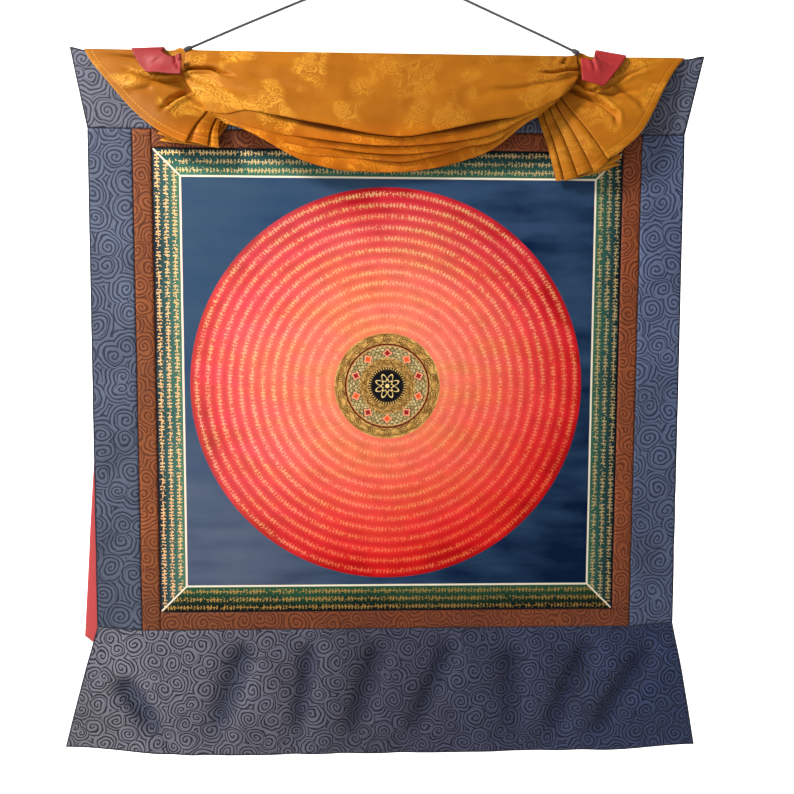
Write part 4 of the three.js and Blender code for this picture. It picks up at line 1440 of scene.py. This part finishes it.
    # Wider shadows under the flap's edge: middle x, half width, extra reach
    wide_shadows: Sequence[tuple[float, float, float]] = ((-68, 34, 6.0), (84, 30, 4.5))

    def top(self, x: float) -> float:
        """Give the height of the veil's top edge, with the small puffs beside the knots."""
        return TOP_EDGE + sum(rise * bell((x - at) / width) for at, rise, width in self.top_bumps)

    def packed_lip(self, i: int) -> float:
        """Give the depth of a pleat's front layer where the layers lie packed."""
        return -self.front_depth + 2 * i * self.pitch

    def section(
        self,
        flap: Sequence[Point],
        lips: Sequence[Point],
        turns: Sequence[Point],
        bulge: float,
        folds: Sequence[tuple[float, float]],
    ) -> np.ndarray:
        """Give one fine back-and-forth section of the veil.

        Args:
            flap: Points down the front flap, from the top edge.
            lips: Where each pleat's edge doubles back.
            turns: Where the cloth turns down again behind it.
            bulge: How far the part of a pleat that shows stands forward.
            folds: For each pleat, how free its edge stands, from 0 flush to 1, and its shadow's reach.

        Returns:
            The section's points, each followed by how much it lies in shade.
        """
        ends = [*flap, lips[0]]
        points = [between(ends, (len(ends) - 1) * k / self.flap_lines) for k in range(self.flap_lines)]
        shade = [0.0] * self.flap_lines
        for i, (lip, turn, (free, reach)) in enumerate(zip(lips, turns, folds)):
            pitch = mix(self.flush_pitch, self.pitch, free)
            lip_at, turn_at = np.array(lip, float), np.array(turn, float)
            points += self.fold(lip_at, lip_at - turn_at, pitch)
            shade += self.lip_shades
            back = lip_at + np.array([0.0, pitch, 0.0])
            for share, dark in self.rising_rows:
                points.append(mix(back, turn_at, share))
                shade.append(dark)
            if i == len(lips) - 1:
                points.append(turn_at)
                shade.append(self.rising_rows[-1][1])
                break
            points += self.fold(turn_at, turn_at - lip_at, pitch)
            shade += [self.turn_shade] * (self.fold_lines + 1)
            start, end = turn_at + np.array([0.0, pitch, 0.0]), np.array(lips[i + 1], float)
            length = float(np.linalg.norm(end - start))
            passed = min(0.93, max(0.1, float((lip_at - start) @ (end - start)) / length**2))
            hollow = max(0.0, mix(start, end, passed)[1] - lip_at[1] - pitch - 0.2) * (1.0 - free)
            for share in self.hidden_shares:
                points.append(mix(start, end, passed * share))
                shade.append(smooth((share - 0.4) / 0.4))
            for share in self.shown_shares:
                point = mix(start, end, mix(passed, 1.0, share))
                point[1] -= bulge * bell((share - 0.5) / 0.35) + hollow * (1.0 - share) ** 2
                points.append(point)
                below = length * (1.0 - passed) * share
                shade.append(mix(0.1, 1.0, free) * (1.0 - smooth((below - 0.4 * reach) / reach)))
        return np.column_stack([np.array(points), shade])

    def fold(self, at: np.ndarray, away: np.ndarray, pitch: float) -> list[np.ndarray]:
        """Give the round points of a fold that doubles back by one pitch."""
        outward = np.array([away[0], 0.0, away[2]])
        outward /= max(np.linalg.norm(outward), 1e-6)
        radius = pitch / 2
        made = []
        for k in range(self.fold_lines + 1):
            turn = math.pi * k / self.fold_lines
            depth = np.array([0.0, radius - radius * math.cos(turn), 0.0])
            made.append(at + depth + outward * radius * 0.8 * math.sin(turn))
        return made

    def key_section(
        self, flap: Sequence[Point], depths: Sequence[float], lips: Sequence[Point], turns: Sequence[Point]
    ) -> tuple[list[Point], list[Point], list[Point]]:
        """Give a section's flap, lips and turns with their depths, from their x and z."""
        return (
            [(x, -depth, z) for (x, z), depth in zip(flap, depths)],
            [(x, self.packed_lip(i), z) for i, (x, z) in enumerate(lips)],
            [(x, self.packed_lip(i) + self.pitch, z) for i, (x, z) in enumerate(turns)],
        )

    def lowest(self, x: float) -> float:
        """Give the height of the swag's lower edge."""
        heights = self.pleats[-1][0]
        a, b = LEFT_EAR.gather[-1], RIGHT_EAR.gather[-1]
        return through([a[0], *self.pleat_x, b[0]], [a[1], *heights, b[1]], x)

    def swag_section(self, fraction: float) -> np.ndarray:
        """Give the section at a share of the way from the left gather to the right one."""
        swell = math.sin(math.pi * fraction) ** 0.7 if 0 < fraction < 1 else 0.0
        end = LEFT_EAR if fraction < 0.5 else RIGHT_EAR
        inward = min(fraction, 1 - fraction) * (RIGHT_EAR.gather[0][0] - LEFT_EAR.gather[0][0])
        rounding = math.sqrt(1 - (1 - clamp01(inward / self.rim)) ** 2)
        depth_share = mix(self.ear_start, 1.08, rounding)
        front = mix(self.front_depth * depth_share, self.pleats[0][1], swell)
        packed_step = mix(2 * self.pitch * depth_share, self.rim_step, smooth(inward / 4))
        lips, folds, depth = [], [], -front
        for i, (heights, forward, start) in enumerate(self.pleats):
            a, b = LEFT_EAR.gather[i], RIGHT_EAR.gather[i]
            x = mix(a[0], b[0], fraction)
            z = through([a[0], *self.pleat_x, b[0]], [a[1], *heights, b[1]], x)
            parted = max(1 - smooth(inward / 5), smooth((inward - self.parting[0]) / self.parting[1]))
            z = mix(self.lowest(x) + self.lip_gap * (len(self.pleats) - 1 - i), z, parted)
            if i > 0:
                free = smooth((inward - self.freeing[0]) / self.freeing[1]) * folds[-1][0]
                depth += mix(packed_step, self.pleats[i - 1][1] - forward, free)
            lips.append((x, depth, z))
            reach = self.shadow
            if i == 0:
                reach += sum(extra * bell((x - at) / width) for at, width, extra in self.wide_shadows)
            folds.append((smooth((x - start) / self.fold_run), reach))
        top_x = mix(LEFT_EAR.shoulder[0][0], RIGHT_EAR.shoulder[0][0], fraction)
        top = self.top(top_x)

        def flap_front(step: float) -> float:
            """How far the flap stands forward at a share of its drop."""
            return mix(self.gather_depths[0], front, math.sin(step * math.pi / 2))

        flap = []
        for k, step in enumerate(self.steps):
            straight = mix(end.shoulder[0][0], end.gather[0][0], step)
            bow = (end.shoulder[k][0] - straight) * (1 - swell)
            even = mix(top, lips[0][2], step)
            pinched = top if k == 0 else end.shoulder[k][1]
            depth = mix(self.gather_depths[k] * depth_share, flap_front(step), swell)
            flap.append((mix(top_x, lips[0][0], step) + bow, -depth, mix(pinched, even, swell)))
        tuck_height = lips[0][2] + self.tuck
        tuck_depth = flap_front((top - tuck_height) / (top - lips[0][2]))
        turns = []
        for i, lip in enumerate(lips):
            lean = (end.gather_turns[i][0] - end.gather[i][0]) * (1 - swell)
            rise = end.gather_turns[i][1] - end.gather[i][1]
            behind = -tuck_depth + (2 * i + 1) * self.pitch
            packed = lip[1] + packed_step / 2
            turns.append((lip[0] + lean, mix(packed, behind, swell), mix(lip[2] + rise, tuck_height, swell)))
        made = self.section(flap, lips, turns, self.swag_bulge * swell, folds)
        out = self.left_out if fraction < 0.5 else self.right_out
        shift = mix(-self.tuck_in, self.overhang, smooth(inward / 3)) * (1 - smooth(inward / 22))
        below = np.clip((top - made[:, 2]) / 12.0, 0.0, 1.0)
        made[:, 0] += out[0] * shift * below
        made[:, 2] += out[1] * shift * below
        return made

    def ear_sections(self, ear: Ear) -> list[np.ndarray]:
        """Give an ear's sections, from near the gather out to the hem."""
        inner = self.key_section(ear.shoulder, self.gather_depths, ear.gather, ear.gather_turns)
        outer = self.key_section(ear.side, self.hem_depths, ear.hem, ear.hem_turns)
        out = self.left_out if ear is LEFT_EAR else self.right_out
        made = []
        for step in range(1, self.ear_stations + 1):
            r = (step / self.ear_stations) ** 1.15
            flap, lips, turns = (
                [tuple(mix(a[axis], b[axis], r) for axis in range(3)) for a, b in zip(near, far)]
                for near, far in zip(inner, outer)
            )
            flap[0] = (flap[0][0], flap[0][1], self.top(flap[0][0]))
            folds = [(1.0, self.ear_shadow)] * len(lips)
            section = self.section(flap, lips, turns, self.ear_bulge * smooth(r / 0.4), folds)
            below = np.clip((TOP_EDGE - section[:, 2]) / 12.0, 0.0, 1.0)
            hidden = self.tuck_in * (1 - smooth(r / 0.5))
            section[:, 0] -= out[0] * hidden * below
            section[:, 2] -= out[1] * hidden * below
            section[:, 1] *= mix(self.ear_start, 1.0, smooth(r / 0.8))
            made.append(section)
        return made

    def crease(self, grid: np.ndarray) -> None:
        """Press the creases into the part of the front flap that shows."""
        ears = self.ear_stations
        for i in range(grid.shape[0]):
            in_ear = i < ears or i >= grid.shape[0] - ears
            lines = self.ear_creases if in_ear else self.swag_creases
            for k in range(1, self.flap_lines):
                x, z = grid[i, k, 0], grid[i, k, 2]
                share = k / self.flap_lines
                allowed = smooth(share / 0.08) * smooth((1 - share) / 0.12)
                dent = sum(line.dent(x, z) for line in lines)
                ripple = 0.5 * noise.noise(Vector((x / 17.0, 2.0, z / 15.0)))
                grid[i, k, 1] = min(grid[i, k, 1] + (dent + ripple) * allowed, -self.clearance)

    def faces_of(self, row: np.ndarray) -> np.ndarray:
        """Give the direction that the cloth's face looks in along each step of a section."""
        faces = []
        down: Optional[np.ndarray] = None
        for step in np.diff(row, axis=0):
            level = np.array([step[0], 0.0, step[2]])
            size = np.linalg.norm(level)
            if size > self.pitch / 8:
                level /= size
                if down is not None and level @ down < 0:
                    level = -level
                down = level
            face = np.array([0.0, -(step @ down), 0.0]) + down * step[1]
            faces.append(face / max(np.linalg.norm(face), 1e-9))
        return np.array(faces)

    def shifted(self, grid: np.ndarray, distance: float) -> np.ndarray:
        """Give the middle surface moved to one side by a distance, with mitred folds."""
        made = np.zeros_like(grid)
        for i, row in enumerate(grid):
            faces = self.faces_of(row)
            before = np.concatenate([faces[:1], faces])
            after = np.concatenate([faces, faces[-1:]])
            total = before + after
            total /= np.maximum(np.linalg.norm(total, axis=1, keepdims=True), 1e-9)
            cosine = np.maximum(0.65, np.einsum("ij,ij->i", total, before))
            made[i] = row + total * (distance / cosine)[:, None]
        return made

    def swag_shares(self) -> list[float]:
        """Give the shares along the swag where it has sections, close together at its rims."""
        span = RIGHT_EAR.gather[0][0] - LEFT_EAR.gather[0][0]
        near = [at / span for at in self.rim_places]
        even = [k / self.swag_stations for k in range(self.swag_stations + 1)]
        inner = [share for share in even if near[-1] < share < 1 - near[-1]]
        return [*near, *inner, *(1 - share for share in reversed(near))]

    def build(self) -> None:
        left = list(reversed(self.ear_sections(LEFT_EAR)))
        middle = [self.swag_section(share) for share in self.swag_shares()]
        grid = np.array([*left, *middle, *self.ear_sections(RIGHT_EAR)])
        self.crease(grid)
        grid, shade = grid[..., :3], grid[..., 3]
        across, along = cloth_lengths(grid)
        kept = np.zeros_like(grid)
        kept[..., 0] = across[:, self.flap_lines // 2][:, None]
        kept[..., 1] = along
        from_sides = np.minimum(across, across[-1:] - across)
        kept[..., 2] = np.minimum(from_sides, along[:, -1:] - along)
        front, back = self.shifted(grid, self.silk / 2), self.shifted(grid, -self.silk / 2)
        piece = closed_sheet("silk_veil", front, back, kept, GoldSilk().build())
        attribute = piece.data.attributes.new(SHADE, "FLOAT", "POINT")
        attribute.data.foreach_set("value", np.concatenate([shade.ravel(), shade.ravel()]).astype(np.float32))
        dress(piece, "veil")


@dataclass(frozen=True)
class RibbonCut:
    """A ribbon's two edges on the front, over the top edge and down its tail, in millimetres."""

    name: str
    front: Sequence[tuple[Point, Point]]
    over: tuple[float, float]
    lift: tuple[float, float]
    tail: Sequence[tuple[float, float, float]]
    folds: Sequence[Crease]


RIBBONS = (
    RibbonCut(
        "ribbon_left",
        front=(
            ((-213, -23, -122), (-214, -14, -99)),
            ((-227, -21, -121), (-224.5, -14, -101.5)),
            ((-240, -19, -119), (-230.5, -13, -99)),
            ((-250.5, -14.5, -117.2), (-234, -11, -96)),
            ((-259, -11, -107), (-235, -9.5, -94)),
        ),
        over=(-266, -234),
        lift=(-2.2, -0.5),
        tail=((-276, -240, -200), (-294, -256, -330), (-316.5, -278.5, -494), (-334, -296, -716)),
        folds=(
            Crease([(-222, -98), (-219, -106), (-221, -114)], 2.6, 1.8, -1.2),
            Crease([(-214, -104), (-217, -110), (-217, -118)], 1.6, 1.6, 0.8),
            Crease([(-230, -98), (-238, -106), (-246, -112)], 1.0, 3.0, 0.5),
        ),
    ),
    RibbonCut(
        "ribbon_right",
        front=(
            ((198, -23, -122.3), (198.5, -14, -97)),
            ((211, -22.5, -125), (208.5, -14, -98.5)),
            ((221.5, -21, -126.8), (213, -14, -96.5)),
            ((231, -16, -116), (214.5, -11, -93)),
            ((239.5, -11.5, -105.5), (216, -9.5, -90.5)),
        ),
        over=(247.5, 217),
        lift=(-1.5, 3.5),
        tail=((250, 212, -200), (255, 217, -330), (259, 221, -494), (263, 225, -716)),
        folds=(
            Crease([(208, -95), (212, -104), (213, -114)], 1.2, 2.2, 0.8),
            Crease([(214, -94), (226, -100), (236, -104)], 0.9, 3.0, 0.5),
        ),
    ),
)


@dataclass
class Ribbon:
    """A red ribbon from the gather over the top edge, with its tail behind."""

    cut: RibbonCut
    thickness: float = 0.6
    behind: float = 5.0
    reach: float = 8.0
    drop: float = 3.0
    point: float = 18.0
    tail_steps: int = 9
    columns: int = 22
    rows_each: int = 10
    # Key rows where the creases of the front end, and where the ripples of the tail begin
    front_end: float = 4.6
    tail_start: float = 10.0
    ripple: float = 0.5
    # Degrees round the turn over the top edge, from front to back
    arc: Sequence[int] = (15, 60, 100, 140, 180)

    def key_rows(self) -> list[tuple[Point, Point]]:
        """Give the two edges of the ribbon at its main places."""
        rows: list[tuple[Point, Point]] = list(self.cut.front)
        radius = (self.behind + self.reach) / 2
        base = TOP_EDGE - self.drop
        first, second = self.cut.over
        for degrees in self.arc:
            turn = math.radians(degrees)
            y = self.behind - radius - radius * math.cos(turn)
            low, high = (base + (radius + lift) * math.sin(turn) for lift in self.cut.lift)
            rows.append(((first, y, low), (second, y, high)))
        depths = [-base, *(-row[2] for row in self.cut.tail)]
        for step in range(1, self.tail_steps + 1):
            down = mix(depths[0], depths[-1], step / self.tail_steps)
            edges = [
                through(depths, [self.cut.over[side], *(row[side] for row in self.cut.tail)], down)
                for side in (0, 1)
            ]
            rows.append(((edges[0], self.behind, -down), (edges[1], self.behind, -down)))
        return rows

    def build(self, material: bpy.types.Material) -> None:
        keys = self.key_rows()
        count = (len(keys) - 1) * self.rows_each
        grid = np.zeros((count + 2, self.columns + 1, 3))
        for i in range(count + 1):
            at = i / self.rows_each
            a = between([row[0] for row in keys], at)
            b = between([row[1] for row in keys], at)
            for j in range(self.columns + 1):
                share = j / self.columns
                grid[i, j] = a + (b - a) * share
                on_front = smooth((self.front_end - at) / 1.2)
                dent = sum(fold.dent(grid[i, j, 0], grid[i, j, 2]) for fold in self.cut.folds)
                grid[i, j, 1] += on_front * (dent - self.ripple * math.sin(share * math.pi * 2.2 + at))
                behind = smooth((at - self.tail_start) / 2.0)
                grid[i, j, 1] += self.ripple * behind * noise.noise(Vector((share * 2.0, at * 0.8, 1.0)))
        for j in range(self.columns + 1):
            centre = 1.0 - abs(2.0 * j / self.columns - 1.0)
            grid[-1, j] = grid[-2, j] - np.array([0.0, 0.0, mix(1.0, self.point, centre)])
        along_rows = np.gradient(grid, axis=0)
        side = grid[:, -1:] - grid[:, :1]
        normal = np.cross(along_rows, np.broadcast_to(side, grid.shape))
        normal /= np.maximum(np.linalg.norm(normal, axis=2, keepdims=True), 1e-9)
        across, along = cloth_lengths(grid)
        kept = np.zeros_like(grid)
        kept[..., 0] = along
        kept[..., 1] = across[:, self.columns // 2][:, None]
        kept[..., 2] = np.minimum(along, along[:, -1:] - along)
        half = normal * (self.thickness / 2)
        piece = closed_sheet(f"{self.cut.name}_silk", grid + half, grid - half, kept, material)
        dress(piece, self.cut.name)


@dataclass
class Cord:
    """The twisted hanging cord with a wound knot at each end.

    Each row of knots gives a name, a centre and the number of the point of the route that it faces.
    """

    diameter: float = 2.8
    strands: int = 3
    lay: float = 9.0
    sides: int = 18
    step: float = 1.0
    route_points: int = 1201
    knot_rows: int = 42
    # The stitch below a knot: how far it drops, how far it leans back, and its rows
    stitch: float = 8.0
    stitch_lean: float = 3.4
    stitch_rows: int = 16
    route: Sequence[Point] = (
        (-205.4, -3.5, -88.9), (-190, -3.4, -82.2), (-150, -2.7, -64.6), (-100, -1.6, -43.2),
        (-50, -0.7, -22.2), (-16, -0.2, -8.1), (-6, 0, -3), (0, 0, -1.4), (6, 0, -3), (16, -0.2, -8),
        (50, -0.7, -23.3), (100, -1.7, -45.4), (150, -2.8, -67.4), (180, -3.4, -80.8),
        (191.2, -3.5, -86.0),
    )
    knots: Sequence[tuple[str, Point, int]] = (
        ("cord_knot_left", (-209.8, -3.5, -90.6), 1),
        ("cord_knot_right", (195.4, -3.5, -87.7), -2),
    )
    # Places along a knot's axis and the radius there
    knot_profile: Sequence[tuple[float, float]] = (
        (-4.2, 0.3), (-4.0, 1.7), (-2.9, 2.6), (-1.8, 2.2), (-0.6, 2.9), (0.6, 2.4), (1.8, 2.6),
        (3.2, 2.0), (4.6, 1.5), (4.9, 0.3),
    )

    def path(self) -> np.ndarray:
        """Give even points along the route, in millimetres."""
        keys = [np.array(p, float) for p in self.route]
        gaps = [0.0, *np.cumsum([np.linalg.norm(b - a) ** 0.5 for a, b in zip(keys, keys[1:])])]
        dense = []
        for at in np.linspace(0.0, gaps[-1], self.route_points):
            dense.append([through(gaps, [p[axis] for p in keys], at) for axis in range(3)])
        dense_points = np.array(dense)
        lengths = lengths_along(dense_points)
        count = int(lengths[-1] / self.step)
        even = np.linspace(0.0, lengths[-1], count + 1)
        return np.stack([np.interp(even, lengths, dense_points[:, axis]) for axis in range(3)], axis=1)

    def tube(
        self, path: np.ndarray, radius_at: Callable[[float, float], float]
    ) -> tuple[np.ndarray, list, np.ndarray]:
        """Give the points, faces and kept numbers of a tube along a path.

        Args:
            path: Points along its middle.
            radius_at: Gives the radius from the length so far and the angle round.

        Returns:
            Points, faces and kept numbers.
        """
        lengths = lengths_along(path)
        tangents = np.gradient(path, axis=0)
        tangents /= np.linalg.norm(tangents, axis=1, keepdims=True)
        points, kept = [], []
        for at, tangent, length in zip(path, tangents, lengths):
            side = np.cross(tangent, np.array([0.0, 1.0, 0.0]))
            side /= np.linalg.norm(side)
            over = np.cross(side, tangent)
            for k in range(self.sides):
                turn = FULL_TURN * k / self.sides
                radius = radius_at(float(length), turn)
                points.append(at + (side * math.cos(turn) + over * math.sin(turn)) * radius)
                kept.append((turn, length, 1000.0 * radius / (self.diameter / 2)))
        faces: list[list[int]] = []
        for i in range(len(path) - 1):
            for k in range(self.sides):
                a, b = i * self.sides + k, i * self.sides + (k + 1) % self.sides
                faces.append([a, b, b + self.sides, a + self.sides])
        faces.append(list(reversed(range(self.sides))))
        faces.append(list(range((len(path) - 1) * self.sides, len(path) * self.sides)))
        return np.array(points), faces, np.array(kept)

    def strand_radius(self, length: float, turn: float) -> float:
        """Give the twisted cord's radius: three round strands laid round each other."""
        phase = (turn - FULL_TURN * length / self.lay) * self.strands / 2.0
        return self.diameter / 2 * (0.8 + 0.2 * abs(math.cos(phase)))

    def build(self) -> None:
        finish = TwistedCord().build()
        path = self.path()
        points, faces, kept = self.tube(path, self.strand_radius)
        cord = mesh_piece("twisted_cord", points, faces, finish, kept)
        dress(cord, "hanging_cord")
        knots = [self.knot(name, centre, neighbour, finish) for name, centre, neighbour in self.knots]

    def knot(self, name: str, centre: Point, neighbour: int, finish: bpy.types.Material) -> bpy.types.Object:
        """Make one wound knot whose axis follows its cord, with the stitch that holds it."""
        middle = np.array(centre, float)
        axis = np.array(self.route[neighbour], float) - middle
        axis /= np.linalg.norm(axis)
        heights = [row[0] for row in self.knot_profile]
        radii = [row[1] for row in self.knot_profile]
        places = np.linspace(heights[0], heights[-1], self.knot_rows)
        path = middle + np.outer(places, axis)

        def radius_at(length: float, turn: float) -> float:
            """Radius of the wound knot, with its slanting turns of cord."""
            plain = float(np.interp(heights[0] + length, heights, radii))
            return plain * (0.93 + 0.07 * abs(math.cos(math.pi * length / 1.5 + turn / 2.0)))

        points, faces, kept = self.tube(path, radius_at)
        drop = np.linspace(0.0, 1.0, self.stitch_rows)
        stitch = middle + np.stack([0.0 * drop, self.stitch_lean * drop**2, -self.stitch * drop], axis=1)

        def thinner(length: float, turn: float) -> float:
            """Radius of the stitch, in a thinner cord."""
            return self.strand_radius(length, turn) * 0.8

        more, extra, more_kept = self.tube(stitch, thinner)
        faces += [[k + len(points) for k in face] for face in extra]
        points, kept = np.concatenate([points, more]), np.concatenate([kept, more_kept])
        piece = mesh_piece(f"{name}_wound", points, faces, finish, kept)
        dress(piece, name)
        return piece


def main() -> None:
    """Build the scene in order."""
    logging.basicConfig(level=logging.INFO, format="%(name)s: %(message)s")
    stage = Stage()
    stage.camera()
    Cord().build()
    Mounting().build()
    Veil().build()
    red = RedSilk().build()
    for cut in RIBBONS:
        Ribbon(cut).build(red)
    stage.backdrop()
    stage.lights()


if __name__ == "__main__":
    main()
